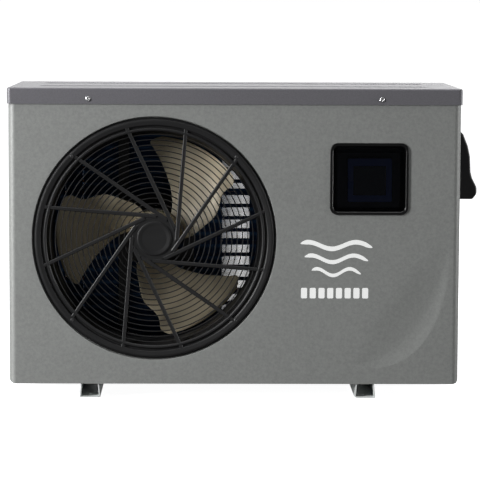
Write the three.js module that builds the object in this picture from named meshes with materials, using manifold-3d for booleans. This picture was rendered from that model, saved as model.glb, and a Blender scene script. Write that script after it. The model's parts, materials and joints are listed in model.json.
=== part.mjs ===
// Pool heat pump unit: a free-standing sheet-metal case that blows air out of a round front grille.
// Millimetres, +Z up, the front faces -Y. While it is built, x = 0 is the middle of the case,
// y = 0 is the face of the front panel and z = 0 is the floor.

import * as THREE from 'three';
import { mergeVertices } from 'three/addons/utils/BufferGeometryUtils.js';
import Module from 'manifold-3d';

const wasm = await Module();
wasm.setup();

// ---------------------------------------------------------------- driving dimensions

const GAP = 0.3; // left between pieces that touch
const SHEET = 1.2; // painted steel sheet

// case
const CASE_HALF = 438; // half the width of the body
const CASE_BACK = 356; // y of the rear face
const CASE_LOW = 27.5; // z of the lower edge of the panels
const PANEL_TOP = 596;
const CORNER_R = 14;
const REAR_R = 8;
const RETURN = 40; // how far the front panel turns back along each side

// top cover
const LID_HALF = 440;
const LID_FRONT = -2;
const LID_BACK = 358;
const LID_TOP = 603.5;
const LID_LIP = 31;
const LID_R = 8;
const GROOVE_HALF = 382;
const GROOVE_W = 31;
const GROOVE_DEEP = 4;
const GROOVE_Y = [100, 257];
const LID_SCREW_X = 283.5;
const LID_SCREW_Z = 582.5;

// base
const PAN_SHEET = 1.5;
const PAN_LOW = 28.5;
const PAN_FLOOR = PAN_LOW + PAN_SHEET;
const PAN_TOP = 56;
const FOOT_X = [-281, 256];
const FOOT_HALF = 20;
const FOOT_SHEET = 2.5;
const FOOT_Y = [1.6, 350];
const ANCHOR_Y = [30, 320];
const ANCHOR_R = 5;
const DRAIN = { x: -155, y: 180, r: 9 };

// fan and grille, both round about one axis along Y
const FAN = { x: -155.6, z: 311.8 };
const GRILLE_R = 235.5;
const RECESS_R = 237; // stamped recess in the front panel that the grille sits in
const RECESS_DEEP = 6;
const MOUTH_R = 218;
const HUB_R = 45.5;
const GRILLE_FACE = 0.6; // y of the flange that the grille screws bear on
const COLLAR_BACK = 6.6; // y where the grille's collar ends, inside the mouth of the duct
const SPOKES = 12;
const SPOKE_PHASE = 25.4; // degrees
const SPOKE_TANGENT_R = 43.5;
const RING_FIRST_R = 78.6;
const RING_STEP = 41.2;
const RINGS = 4;
const GRILLE_SCREW_R = 225;
const ROUND = 48; // facets of the large circles
const BLADES = 3;
const BLADE_TIP_R = 194;
const BLADE_ROOT_R = 48.5;
const BLADE_THICK = 3;
const BLADE_MID_Y = 65;
const THROAT_R = 201;
const SHAFT_R = 6;
const SHAFT_NECK = 50; // y where the shaft steps down to its threaded end
const MOTOR_Y = [112, 214];
const MOTOR_R = 54;
const RAIL_X = 66; // each upright of the motor bracket, from the fan axis
const RAIL_HALF = 11;
const RAIL_DEEP = 14;

// evaporator coil, bent round the rear left corner
const COIL = { right: 104, back: 348, deep: 44, left: -430, front: 24, low: 31, top: 590, bendR: 40 };
const TUBE_PITCH = 25.4;
const TUBE_R = 3.97;
const RETURN_BENDS = 11;

// coil guards
const GUARD_THICK = 4;
const GUARD_CORNER = 12; // how far the rear guard turns on to the left side
const POST_PITCH = 71;
const POST_W = 14;
const POST_FIRST_X = -383;
const POST_FIRST_Y = 47;
const BAR_PITCH = 104;
const BAR_W = 14;
const BARS_LOW = 70;
const GUARD_ROWS = 5;

// control panel
const BEZEL = { x: 260.7, z: 428.9, w: 153, h: 140, r: 16 };
const TUB = { w: 145, h: 132, r: 12, floor: 28, wall: 3 };
const OPENING = { w: 139, h: 126, r: 10 };
const TUB_FLOOR = { w: 123, h: 115, r: 6 };
const HINGE = { y: 2.6, z: BEZEL.z + 53, pinR: 2.2 };
const MODULE = { x: 262.5, z: 425.7, w: 86, h: 84.5, y: 14 };
const SCREEN = { x: 262.3, z: 424.8, w: 63.6, h: 57.2 };

// side hood over the cable entry
const HOOD_Y = [68, 202];
const HOOD_WALL = 2.5;
const HOOD_LOW = 387;
const HOOD_PROFILE = [
  [0, 522], [10.7, 513.5], [20.2, 489], [24.4, 469], [25.9, 438.5],
  [29, 426.5], [38, 408.5], [38.3, 395.5], [32, HOOD_LOW],
]; // [how far out from the side panel, z]
const ENTRY = { y: [85, 185], z: [416, 500] };
const GLAND_X = 451.5;
const GLAND_Y = [112, 158];
const GLAND_TAB_Z = 413;

// compressor section
const PARTITION_X = 106;
const COMPRESSOR = { x: 192, y: 165, r: 59 };
const GROMMET_RING = 68;
const ACCUMULATOR = { x: 232, y: 75, r: 31 };
const VALVE = { x: 213, y: 215, z: 390, r: 14 };
const EXPANSION = { x: 215, y: 250, z: 100 };
const TANK = { x: 350, y: 250, r: 72, wall: 5, low: 60, top: 472 };
const TANK_STUB_X = TANK.x - TANK.r - 12;
const TANK_STUB_Z = [100, 440];
const NECK_Z = [120, 430];
const NECK_BORE = 22;
const NECK_END = 376;
const PIPE_SOCKET_R = 25; // 50 mm pool pipe
const TAIL_END = 424;
const SWITCH_Y = 338.5;
const SWITCH_STEM_R = 7;

// ---------------------------------------------------------------- materials

function paint(color, roughness, metalness = 0) {
  return new THREE.MeshStandardMaterial({ color, roughness, metalness, flatShading: true });
}

const casingPaint = paint(0x868987, 0.55, 0.3);
const lidPaint = paint(0x5f5f63, 0.5, 0.3);
const blackPlastic = paint(0x26282a, 0.6);
const glossBlack = paint(0x0a0a0c, 0.12);
const bladePlastic = paint(0xc8c1b2, 0.55);
const galvanised = paint(0x9a9ea0, 0.45, 0.8);
const zinc = paint(0xd9dadb, 0.3, 1);
const aluminium = paint(0xb4b8bb, 0.4, 0.9);
const copper = paint(0xb8683c, 0.35, 1);
const brass = paint(0xb9953f, 0.35, 1);
const steelBlack = paint(0x17181a, 0.45, 0.4);
const rubber = paint(0x141414, 0.9);
const tankPlastic = paint(0x4a4d50, 0.5);
const titanium = paint(0x8d8a86, 0.35, 1);
const screenGlass = paint(0x0b1230, 0.08);
const smoked = paint(0x101216, 0.08);
smoked.transparent = true;
smoked.opacity = 0.35;

// ---------------------------------------------------------------- solids

// A closed manifold solid from a geometry: shared vertices merged, slivers dropped, faces outward.
function solid(geometry) {
  const bare = geometry.clone();
  bare.deleteAttribute('normal');
  bare.deleteAttribute('uv');
  const merged = mergeVertices(bare, 1e-4);
  const points = Float32Array.from(merged.attributes.position.array);
  const index = merged.index.array;
  const faces = [];
  let volume = 0;
  for (let i = 0; i < index.length; i += 3) {
    const [a, b, c] = [index[i], index[i + 1], index[i + 2]];
    if (a === b || b === c || c === a) continue;
    faces.push([a, b, c]);
    volume += signedVolume(points, a, b, c);
  }
  const wound = volume < 0 ? faces.map(([a, b, c]) => [a, c, b]) : faces;
  const triVerts = Uint32Array.from(wound.flat());
  return new wasm.Manifold(new wasm.Mesh({ numProp: 3, vertProperties: points, triVerts }));
}

function signedVolume(points, a, b, c) {
  const [p, q, r] = [a, b, c].map((i) => new THREE.Vector3().fromArray(points, 3 * i));
  return p.dot(q.cross(r)) / 6;
}

const join = (solids) => solids.reduce((sum, next) => sum.add(next));
const cut = (body, tools) => tools.reduce((rest, tool) => rest.subtract(tool), body);

function block([x0, x1], [y0, y1], [z0, z1]) {
  const box = new THREE.BoxGeometry(x1 - x0, y1 - y0, z1 - z0);
  return solid(box.translate((x0 + x1) / 2, (y0 + y1) / 2, (z0 + z1) / 2));
}

// Solids of revolution. A profile lists [radius, height along the axis]; one that isn't on the
// axis at both ends closes on itself.
function turned(profile, segments) {
  const points = profile.map(([r, h]) => new THREE.Vector2(r, h));
  const onAxis = profile[0][0] === 0 && profile.at(-1)[0] === 0;
  if (!onAxis) points.push(points[0].clone());
  return new THREE.LatheGeometry(points, segments);
}
const turnedX = (profile, y, z, segments) =>
  solid(turned(profile, segments).rotateZ(-Math.PI / 2).translate(0, y, z));
const turnedY = (profile, x, z, segments) =>
  solid(turned(profile, segments).translate(x, 0, z));
const turnedZ = (profile, x, y, segments) =>
  solid(turned(profile, segments).rotateX(Math.PI / 2).translate(x, y, 0));

const rodProfile = (r, from, to) => [[0, from], [r, from], [r, to], [0, to]];
const rodX = (y, z, r, from, to, segments = 12) => turnedX(rodProfile(r, from, to), y, z, segments);
const rodY = (x, z, r, from, to, segments = 12) => turnedY(rodProfile(r, from, to), x, z, segments);
const rodZ = (x, y, r, from, to, segments = 12) => turnedZ(rodProfile(r, from, to), x, y, segments);

// Extrusions of a flat outline along Z and along Y (outline in x and z).
function extruded(shape, depth, curveSegments) {
  return new THREE.ExtrudeGeometry(shape, { depth, bevelEnabled: false, curveSegments });
}
const prismZ = (shape, z0, z1, curveSegments = 2) =>
  solid(extruded(shape, z1 - z0, curveSegments).translate(0, 0, z0));
const prismY = (shape, y0, y1, curveSegments = 2) =>
  solid(extruded(shape, y1 - y0, curveSegments).rotateX(Math.PI / 2).translate(0, y1, 0));

const polygon = (points) => new THREE.Shape(points.map(([u, v]) => new THREE.Vector2(u, v)));

function roundedRect(cx, cy, w, h, r) {
  const [left, right, low, high] = [cx - w / 2, cx + w / 2, cy - h / 2, cy + h / 2];
  const shape = new THREE.Shape();
  shape.moveTo(left + r, low);
  shape.absarc(right - r, low + r, r, -Math.PI / 2, 0);
  shape.absarc(right - r, high - r, r, 0, Math.PI / 2);
  shape.absarc(left + r, high - r, r, Math.PI / 2, Math.PI);
  shape.absarc(left + r, low + r, r, Math.PI, 1.5 * Math.PI);
  return shape;
}

// A solid between two sheets of points, each given by a function of (u, v) from 0 to 1.
function betweenSheets(front, back, nu, nv) {
  const positions = [];
  const index = [];
  const at = (side, i, j) => side * (nu + 1) * (nv + 1) + i * (nv + 1) + j;
  for (const sheet of [front, back]) {
    for (let i = 0; i <= nu; i++) {
      for (let j = 0; j <= nv; j++) positions.push(...sheet(i / nu, j / nv).toArray());
    }
  }
  const quad = (a, b, c, d) => index.push(a, b, c, a, c, d);
  for (let i = 0; i < nu; i++) {
    for (let j = 0; j < nv; j++) {
      quad(at(0, i, j), at(0, i + 1, j), at(0, i + 1, j + 1), at(0, i, j + 1));
      quad(at(1, i, j), at(1, i, j + 1), at(1, i + 1, j + 1), at(1, i + 1, j));
    }
    quad(at(0, i, 0), at(1, i, 0), at(1, i + 1, 0), at(0, i + 1, 0));
    quad(at(0, i, nv), at(0, i + 1, nv), at(1, i + 1, nv), at(1, i, nv));
  }
  for (let j = 0; j < nv; j++) {
    quad(at(0, 0, j), at(0, 0, j + 1), at(1, 0, j + 1), at(1, 0, j));
    quad(at(0, nu, j), at(1, nu, j), at(1, nu, j + 1), at(0, nu, j + 1));
  }
  const geometry = new THREE.BufferGeometry();
  geometry.setAttribute('position', new THREE.Float32BufferAttribute(positions, 3));
  geometry.setIndex(index);
  return solid(geometry);
}

// A tapered prism along Y between two outlines (x, z) that have the same number of points.
function loftY(outlineA, yA, outlineB, yB) {
  const n = outlineA.length;
  const level = (outline, y) => outline.map((p) => [p.x, y, p.y]);
  const middle = (points) => [0, 1, 2].map((axis) => points.reduce((sum, p) => sum + p[axis], 0) / n);
  const [ringA, ringB] = [level(outlineA, yA), level(outlineB, yB)];
  const [centreA, centreB] = [middle(ringA), middle(ringB)];
  const corners = [];
  for (let i = 0; i < n; i++) {
    const [a0, a1, b0, b1] = [ringA[i], ringA[(i + 1) % n], ringB[i], ringB[(i + 1) % n]];
    corners.push(a0, a1, b1, a0, b1, b0, centreA, a1, a0, centreB, b0, b1);
  }
  const geometry = new THREE.BufferGeometry();
  geometry.setAttribute('position', new THREE.Float32BufferAttribute(corners.flat(), 3));
  return solid(geometry);
}

// A round pipe through a list of points, with its corners rounded.
function pipe(points, r, bend = 14, steps = 18, sides = 8) {
  const corners = points.map((p) => new THREE.Vector3(...p));
  const path = new THREE.CurvePath();
  let from = corners[0];
  for (let i = 1; i < corners.length - 1; i++) {
    const before = corners[i].clone().add(corners[i - 1].clone().sub(corners[i]).setLength(bend));
    const after = corners[i].clone().add(corners[i + 1].clone().sub(corners[i]).setLength(bend));
    path.add(new THREE.LineCurve3(from, before));
    path.add(new THREE.QuadraticBezierCurve3(before, corners[i], after));
    from = after;
  }
  path.add(new THREE.LineCurve3(from, corners.at(-1)));
  return swept(path, r, steps, sides);
}

function swept(path, r, steps, sides) {
  const section = new THREE.Shape();
  section.absarc(0, 0, r, 0, 2 * Math.PI);
  const options = { extrudePath: path, steps, bevelEnabled: false, curveSegments: sides / 2 };
  return solid(new THREE.ExtrudeGeometry(section, options));
}

const degrees = (angle) => (angle * Math.PI) / 180;
const polar = (r, angle) => [r * Math.cos(degrees(angle)), r * Math.sin(degrees(angle))];

const unit = new THREE.Group();

function piece(name, material, body) {
  const { vertProperties, triVerts } = body.getMesh();
  const geometry = new THREE.BufferGeometry();
  geometry.setAttribute('position', new THREE.Float32BufferAttribute(vertProperties, 3));
  geometry.setIndex(new THREE.Uint32BufferAttribute(triVerts, 1));
  geometry.computeVertexNormals();
  const mesh = new THREE.Mesh(geometry, material);
  mesh.name = name;
  unit.add(mesh);
}

// ---------------------------------------------------------------- case

function topCover() {
  const depth = LID_BACK - LID_FRONT;
  const middle = (LID_BACK + LID_FRONT) / 2;
  const outer = roundedRect(0, middle, 2 * LID_HALF, depth, LID_R);
  const inner = roundedRect(0, middle, 2 * (LID_HALF - SHEET), depth - 2 * SHEET, LID_R - SHEET);
  const groove = (y, grow) => {
    const wide = GROOVE_W + 2 * grow;
    return roundedRect(0, y, 2 * (GROOVE_HALF + grow), wide, wide / 2 - 0.01);
  };
  let cover = prismZ(outer, LID_TOP - LID_LIP, LID_TOP);
  cover = cover.subtract(prismZ(inner, LID_TOP - LID_LIP - 1, LID_TOP - SHEET));
  for (const y of GROOVE_Y) {
    cover = cover.add(prismZ(groove(y, SHEET), LID_TOP - GROOVE_DEEP - SHEET, LID_TOP - SHEET / 2));
    cover = cover.subtract(prismZ(groove(y, 0), LID_TOP - GROOVE_DEEP, LID_TOP + 1));
  }
  return cut(cover, lidScrewHoles());
}

function lidScrewHoles() {
  return [-LID_SCREW_X, LID_SCREW_X].map((x) => rodY(x, LID_SCREW_Z, 2.5, LID_FRONT - 1, SHEET + 1));
}

// The front panel's relief: a leaf pressed into the sheet, soft along its upper left edge and crisp
// along its lower right edge.
const LEAF_TOP = [418, 312]; // [x, z]
const LEAF_LOW = [238, 62];
const leafEdge = (...points) => new THREE.CubicBezierCurve(...points.map((p) => new THREE.Vector2(...p)));
const leafInner = leafEdge(LEAF_TOP, [330, 270], [262, 190], LEAF_LOW);
const leafOuter = leafEdge(LEAF_TOP, [424, 135], [345, 40], LEAF_LOW);
const LEAF_DEEP = 3.6;
const LEAF_DEEPEST = 0.72; // how far across the leaf the deepest line runs

function leafDepth(u, v) {
  const soft = Math.sin((v / LEAF_DEEPEST) * (Math.PI / 2)) ** 2;
  const crisp = 1 - Math.max(0, (v - LEAF_DEEPEST) / (1 - LEAF_DEEPEST)) ** 1.6;
  return LEAF_DEEP * (v < LEAF_DEEPEST ? soft : crisp) * Math.sin(Math.PI * u) ** 0.6;
}

function leafSheet(y) {
  return (u, v) => {
    const p = leafInner.getPoint(u).lerp(leafOuter.getPoint(u), v);
    return new THREE.Vector3(p.x, y(u, v), p.y);
  };
}

function frontPanel() {
  const inner = CORNER_R - SHEET;
  const plan = new THREE.Shape();
  plan.moveTo(-CASE_HALF, RETURN);
  plan.absarc(-CASE_HALF + CORNER_R, CORNER_R, CORNER_R, Math.PI, 1.5 * Math.PI);
  plan.absarc(CASE_HALF - CORNER_R, CORNER_R, CORNER_R, 1.5 * Math.PI, 2 * Math.PI);
  plan.lineTo(CASE_HALF, RETURN);
  plan.lineTo(CASE_HALF - SHEET, RETURN);
  plan.absarc(CASE_HALF - CORNER_R, CORNER_R, inner, 0, -Math.PI / 2, true);
  plan.absarc(-CASE_HALF + CORNER_R, CORNER_R, inner, -Math.PI / 2, -Math.PI, true);
  plan.lineTo(-CASE_HALF + SHEET, RETURN);
  let panel = prismZ(plan, CASE_LOW, PANEL_TOP, 3);

  const wallR = [RECESS_R - GAP, RECESS_R + SHEET];
  const recess = [[wallR[0], 0], [wallR[1], 0], [wallR[1], RECESS_DEEP], [MOUTH_R, RECESS_DEEP],
    [MOUTH_R, RECESS_DEEP - SHEET], [wallR[0], RECESS_DEEP - SHEET]];
  panel = panel.subtract(rodY(FAN.x, FAN.z, RECESS_R, -1, SHEET + 1, ROUND));
  panel = panel.add(turnedY(recess, FAN.x, FAN.z, ROUND));

  const backOfLeaf = leafSheet((u, v) => SHEET + leafDepth(u, v));
  panel = panel.add(betweenSheets(leafSheet(() => SHEET / 2), backOfLeaf, 10, 5));
  panel = panel.subtract(betweenSheets(leafSheet(() => -SHEET), leafSheet(leafDepth), 10, 5));

  const window = roundedRect(BEZEL.x, BEZEL.z, TUB.w + 1.4, TUB.h + 1.4, TUB.r + 0.7);
  return cut(panel, [prismY(window, -1, SHEET + 1), ...lidScrewHoles(), ...grilleScrewHoles()]);
}

function rightSidePanel() {
  const [front, back] = [RETURN + GAP + 0.1, CASE_BACK];
  const rearReturn = 24;
  const plan = new THREE.Shape();
  plan.moveTo(CASE_HALF, front);
  plan.absarc(CASE_HALF - REAR_R, back - REAR_R, REAR_R, 0, Math.PI / 2);
  plan.lineTo(CASE_HALF - rearReturn, back);
  plan.lineTo(CASE_HALF - rearReturn, back - SHEET);
  plan.absarc(CASE_HALF - REAR_R, back - REAR_R, REAR_R - SHEET, Math.PI / 2, 0, true);
  plan.lineTo(CASE_HALF - SHEET, front);
  const entry = block([CASE_HALF - 2 * SHEET, CASE_HALF + 1], ENTRY.y, ENTRY.z);
  const panel = prismZ(plan, CASE_LOW, PANEL_TOP).subtract(entry);
  const tabZ = [GLAND_TAB_Z, GLAND_TAB_Z + SHEET];
  const tabReach = 24;
  const tab = block([CASE_HALF - SHEET, CASE_HALF + tabReach], [ENTRY.y[0] + 3, ENTRY.y[1] - 3], tabZ);
  const glandHoles = GLAND_Y.map((y) => rodZ(GLAND_X, y, 8.5, tabZ[0] - 1, tabZ[1] + 1, 16));
  return cut(panel.add(tab), glandHoles);
}

function rearPanel() {
  const across = [COIL.right + 8, CASE_HALF - 24.4];
  const sheet = block(across, [CASE_BACK - SHEET, CASE_BACK], [CASE_LOW, PANEL_TOP]);
  const holes = NECK_Z.map((z) => rodY(TANK.x, z, 33, CASE_BACK - 2 * SHEET, CASE_BACK + 1, 28));
  return cut(sheet, holes);
}

// Two grids of upright posts and level bars that meet near the rear left corner.
function guardWindow(row) {
  const low = BARS_LOW + row * BAR_PITCH;
  return [low, low + BAR_PITCH - BAR_W];
}

function rearCoilGuard() {
  const [left, right, turn] = [-CASE_HALF, COIL.right + 7.6, CASE_BACK - GUARD_CORNER];
  const inner = REAR_R - GUARD_THICK;
  const plan = new THREE.Shape();
  plan.moveTo(right, CASE_BACK);
  plan.absarc(left + REAR_R, CASE_BACK - REAR_R, REAR_R, Math.PI / 2, Math.PI);
  plan.lineTo(left, turn);
  plan.lineTo(left + GUARD_THICK, turn);
  plan.absarc(left + REAR_R, CASE_BACK - REAR_R, inner, Math.PI, Math.PI / 2, true);
  plan.lineTo(right, CASE_BACK - GUARD_THICK);
  const windows = [];
  for (let row = 0; row < GUARD_ROWS; row++) {
    for (let column = 0; column < 7; column++) {
      const x = POST_FIRST_X + column * POST_PITCH + POST_W / 2;
      const across = [x, x + POST_PITCH - POST_W];
      windows.push(block(across, [CASE_BACK - 2 * GUARD_THICK, CASE_BACK + 1], guardWindow(row)));
    }
  }
  return cut(prismZ(plan, CASE_LOW, PANEL_TOP), windows);
}

function sideCoilGuard() {
  const [front, back] = [RETURN + GAP + 0.1, CASE_BACK - GUARD_CORNER - GAP];
  const grid = block([-CASE_HALF, -CASE_HALF + GUARD_THICK], [front, back], [CASE_LOW, PANEL_TOP]);
  const windows = [];
  for (let row = 0; row < GUARD_ROWS; row++) {
    for (let column = 0; column < 4; column++) {
      const y = POST_FIRST_Y + column * POST_PITCH + POST_W / 2;
      const across = [y, y + POST_PITCH - POST_W];
      windows.push(block([-CASE_HALF - 1, -CASE_HALF + 2 * GUARD_THICK], across, guardWindow(row)));
    }
  }
  return cut(grid, windows);
}

function basePan() {
  const [x0, x1] = [-CASE_HALF + GUARD_THICK + GAP, CASE_HALF - SHEET - GAP];
  const [y0, y1] = [SHEET + GAP, CASE_BACK - GUARD_THICK - GAP];
  const [wide, deep] = [x1 - x0, y1 - y0];
  const plan = (inset) =>
    roundedRect((x0 + x1) / 2, (y0 + y1) / 2, wide - 2 * inset, deep - 2 * inset, CORNER_R - inset);
  const tray = prismZ(plan(0), PAN_LOW, PAN_TOP);
  const hollow = prismZ(plan(PAN_SHEET), PAN_FLOOR, PAN_TOP + 1);
  return cut(tray, [hollow, rodZ(DRAIN.x, DRAIN.y, DRAIN.r, PAN_LOW - 1, PAN_FLOOR + 1)]);
}

function drainNozzle() {
  const seat = PAN_LOW - GAP;
  const profile = [[6, 8], [8, 8], [9, 12], [8, 12], [8, 25], [14, 25], [14, seat], [8.5, seat],
    [8.5, PAN_FLOOR + 2], [6, PAN_FLOOR + 2]];
  return turnedZ(profile, DRAIN.x, DRAIN.y, 12);
}

// An open channel: its walls lean in a little towards the pan, and its inner front corner is cut off.
function foot(x, inward) {
  const top = PAN_LOW - GAP;
  const lean = 2.2;
  const wall = (side) => {
    const bend = [x + side * (FOOT_HALF - FOOT_SHEET), FOOT_SHEET];
    const lip = x + side * (FOOT_HALF - lean);
    return {
      outer: [[x + side * FOOT_HALF, 0], [lip, top]],
      inner: [[lip - side * FOOT_SHEET, top], bend],
    };
  };
  const [left, right] = [wall(-1), wall(1)];
  const profile = [...right.outer, ...right.inner, ...left.inner.reverse(), ...left.outer.reverse()];
  const edge = x + inward * FOOT_HALF;
  const front = FOOT_Y[0] - 1;
  const corner = [[edge + inward, front], [edge + inward, front + 13], [edge - 3 * inward, front]];
  const holes = ANCHOR_Y.map((y) => rodZ(x, y, ANCHOR_R, -1, FOOT_SHEET + 1));
  return cut(prismY(polygon(profile), ...FOOT_Y), [prismZ(polygon(corner), -1, FOOT_SHEET), ...holes]);
}

function partitionPlate() {
  return block([PARTITION_X, PARTITION_X + SHEET], [3.6, 300], [PAN_FLOOR + GAP, 590]);
}

function sideHood() {
  const outerCurve = new THREE.SplineCurve(HOOD_PROFILE.map((p) => new THREE.Vector2(...p)));
  const outside = outerCurve.getPoints(14).map((p) => [CASE_HALF + GAP + p.x, p.y]);
  const inside = outside.map(([x, z]) => [x - HOOD_WALL, z - HOOD_WALL]);
  const outer = polygon([...outside, [CASE_HALF + GAP, HOOD_LOW]]);
  const inner = polygon([[CASE_HALF - 5, inside[0][1]], ...inside, [CASE_HALF - 5, HOOD_LOW - HOOD_WALL]]);
  const hollow = prismY(inner, HOOD_Y[0] + HOOD_WALL, HOOD_Y[1] - HOOD_WALL);
  return prismY(outer, ...HOOD_Y).subtract(hollow);
}

function cableGland(y) {
  const z = GLAND_TAB_Z;
  const [under, over] = [z - GAP, z + SHEET + GAP];
  const profile = [[5, z - 21], [9, z - 21], [10.5, z - 17], [10.5, z - 6], [12, z - 6], [12, under],
    [8, under], [8, over], [11, over], [11, z + 5], [8, z + 5], [8, z + 9], [5, z + 9]];
  return turnedZ(profile, GLAND_X, y, 10);
}

// A pan-head screw along Y whose head starts at headY.
function panScrew(x, z, headY, headR, length) {
  const [shankR, seat, tip] = [2.1, headY + 2.3, headY + length];
  const profile = [[0, headY], [headR * 0.7, headY], [headR, headY + 1.3], [headR, seat], [shankR, seat],
    [shankR, tip], [0, tip]];
  return turnedY(profile, x, z, 8);
}

piece('top_cover', lidPaint, topCover());
piece('front_panel', casingPaint, frontPanel());
piece('right_side_panel', casingPaint, rightSidePanel());
piece('rear_panel', casingPaint, rearPanel());
piece('rear_coil_guard', casingPaint, rearCoilGuard());
piece('side_coil_guard', casingPaint, sideCoilGuard());
piece('base_pan', galvanised, basePan());
piece('drain_nozzle', blackPlastic, drainNozzle());
piece('foot_left', steelBlack, foot(FOOT_X[0], 1));
piece('foot_right', steelBlack, foot(FOOT_X[1], -1));
piece('partition_plate', galvanised, partitionPlate());
piece('side_hood', blackPlastic, sideHood());
piece('power_gland', blackPlastic, cableGland(GLAND_Y[0]));
piece('signal_gland', blackPlastic, cableGland(GLAND_Y[1]));
const lidScrew = (x) => panScrew(x, LID_SCREW_Z, LID_FRONT - 2.6, 4.7, 12);
piece('lid_screw_left', zinc, lidScrew(-LID_SCREW_X));
piece('lid_screw_right', zinc, lidScrew(LID_SCREW_X));

// ---------------------------------------------------------------- fan

function grilleScrewPlaces() {
  return [45, 135, 225, 315].map((angle) => {
    const [dx, dz] = polar(GRILLE_SCREW_R, angle);
    return [FAN.x + dx, FAN.z + dz];
  });
}

function grilleScrewHoles() {
  return grilleScrewPlaces().map(([x, z]) => rodY(x, z, 2.5, -4, 12, 8));
}

function spoke(k) {
  const phi = SPOKE_PHASE + (360 / SPOKES) * k;
  const length = Math.sqrt((MOUTH_R - 2) ** 2 - SPOKE_TANGENT_R ** 2);
  const across = (half, along) => {
    const [tx, tz] = polar(SPOKE_TANGENT_R + half, phi);
    const [dx, dz] = polar(along, phi + 90);
    return [FAN.x + tx + dx, FAN.z + tz + dz];
  };
  const outline = [across(-3.3, -8), across(3.3, -8), across(2.2, length), across(-2.2, length)];
  return prismY(polygon(outline), -0.4, COLLAR_BACK);
}

function fanGrille() {
  const flange = [[GRILLE_R, 4.4], [GRILLE_R, -0.8], [GRILLE_R - 2, -1.5], [GRILLE_R - 4, GRILLE_FACE],
    [219, GRILLE_FACE], [214.6, 3], [214.6, COLLAR_BACK], [217.2, COLLAR_BACK], [217.2, 4.4]];
  const hub = [[0, -1.4], [30, -1.4], [33, 0], [43, 1.2], [HUB_R, 3], [HUB_R, 8], [0, 8]];
  const parts = [turnedY(flange, FAN.x, FAN.z, ROUND), turnedY(hub, FAN.x, FAN.z, 24)];
  for (let k = 0; k < SPOKES; k++) parts.push(spoke(k));
  for (let k = 0; k < RINGS; k++) {
    const r = RING_FIRST_R + k * RING_STEP;
    parts.push(turnedY([[r - 1, 2], [r + 1, 2], [r + 1, 6], [r - 1, 6]], FAN.x, FAN.z, 28));
  }
  return cut(join(parts), grilleScrewHoles());
}

// Bell mouth: a flange behind the front panel that narrows to a straight throat round the blades.
function fanDuct() {
  const profile = [[219, 6.4], [208, 14], [202, 28], [THROAT_R, 88], [205, 96], [207, 96],
    [THROAT_R + 2, 88], [204, 28], [210, 16], [220, 8.6], [244, 8.6], [244, 6.4]];
  return cut(turnedY(profile, FAN.x, FAN.z, 40), grilleScrewHoles());
}

// A blade's two edges, as angles that grow with the radius: each blade sweeps round as it goes out.
const trailingAngle = (v) => 6 + 26 * v;
const leadingAngle = (v) => 63 + 33 * v;

function blade(k) {
  const surface = (offset) => (u, v) => {
    const r = BLADE_ROOT_R + v * (BLADE_TIP_R - BLADE_ROOT_R);
    const angle = trailingAngle(v) + u * (leadingAngle(v) - trailingAngle(v)) + (360 / BLADES) * k;
    const rise = (u - 0.5) * (38 + 12 * v) + 6 * Math.sin(Math.PI * u);
    const [dx, dz] = polar(r, angle);
    return new THREE.Vector3(FAN.x + dx, BLADE_MID_Y + rise + offset, FAN.z + dz);
  };
  return betweenSheets(surface(-BLADE_THICK / 2), surface(BLADE_THICK / 2), 7, 4);
}

function fanImpeller() {
  const bore = SHAFT_R + 0.4;
  const hub = [[bore, 41], [46, 41], [50, 45], [50, 92], [47, 92],
    [47, 46], [13, 46], [13, 88], [bore, 88]];
  return join([turnedY(hub, FAN.x, FAN.z, 24), ...[0, 1, 2].map(blade)]);
}

function fanNut() {
  const hexagon = [0, 60, 120, 180, 240, 300].map((angle) => {
    const [dx, dz] = polar(7.5, angle);
    return [FAN.x + dx, FAN.z + dz];
  });
  return prismY(polygon(hexagon), 33, 40.7).subtract(rodY(FAN.x, FAN.z, 4.4, 30, 42));
}

function fanShaft() {
  const profile = [[0, 28], [4, 28], [4, SHAFT_NECK], [SHAFT_R, SHAFT_NECK], [SHAFT_R, 204], [0, 204]];
  return turnedY(profile, FAN.x, FAN.z, 12);
}

function fanMotor() {
  const [front, back] = MOTOR_Y;
  const [bore, boreEnd] = [SHAFT_R + 0.5, 206];
  const profile = [[0, back], [40, back], [MOTOR_R, back - 8], [MOTOR_R, front + 24], [46, front + 12],
    [16, front + 8], [16, front], [bore, front], [bore, boreEnd], [0, boreEnd]];
  return turnedY(profile, FAN.x, FAN.z, 20);
}

function motorBracket() {
  const front = MOTOR_Y[1] + 0.4;
  const depth = [front, front + RAIL_DEEP];
  const [low, top] = [PAN_FLOOR + GAP, 588];
  const [left, right] = [FAN.x - RAIL_X, FAN.x + RAIL_X];
  const rails = [left, right].flatMap((x) => {
    const across = [x - RAIL_HALF, x + RAIL_HALF];
    const hook = block(across, [front, COIL.back - COIL.deep - 2], [top - 2, top]);
    return [block(across, depth, [low, top]), hook];
  });
  const ties = [-55, 55].map((dz) => {
    return block([left, right], [front, front + 2.5], [FAN.z + dz - 13, FAN.z + dz + 13]);
  });
  const head = block([left - RAIL_HALF, right + RAIL_HALF], depth, [top - 20, top]);
  return join([...rails, ...ties, head]);
}

piece('fan_grille', blackPlastic, fanGrille());
grilleScrewPlaces().forEach(([x, z], i) => {
  piece(`grille_screw_${i + 1}`, steelBlack, panScrew(x, z, GRILLE_FACE - 2.3 - GAP, 3.6, 14));
});
piece('fan_duct', blackPlastic, fanDuct());
piece('fan_impeller', bladePlastic, fanImpeller());
piece('fan_nut', zinc, fanNut());
piece('fan_shaft', zinc, fanShaft());
piece('fan_motor', steelBlack, fanMotor());
piece('motor_bracket', steelBlack, motorBracket());

// ---------------------------------------------------------------- evaporator

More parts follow.
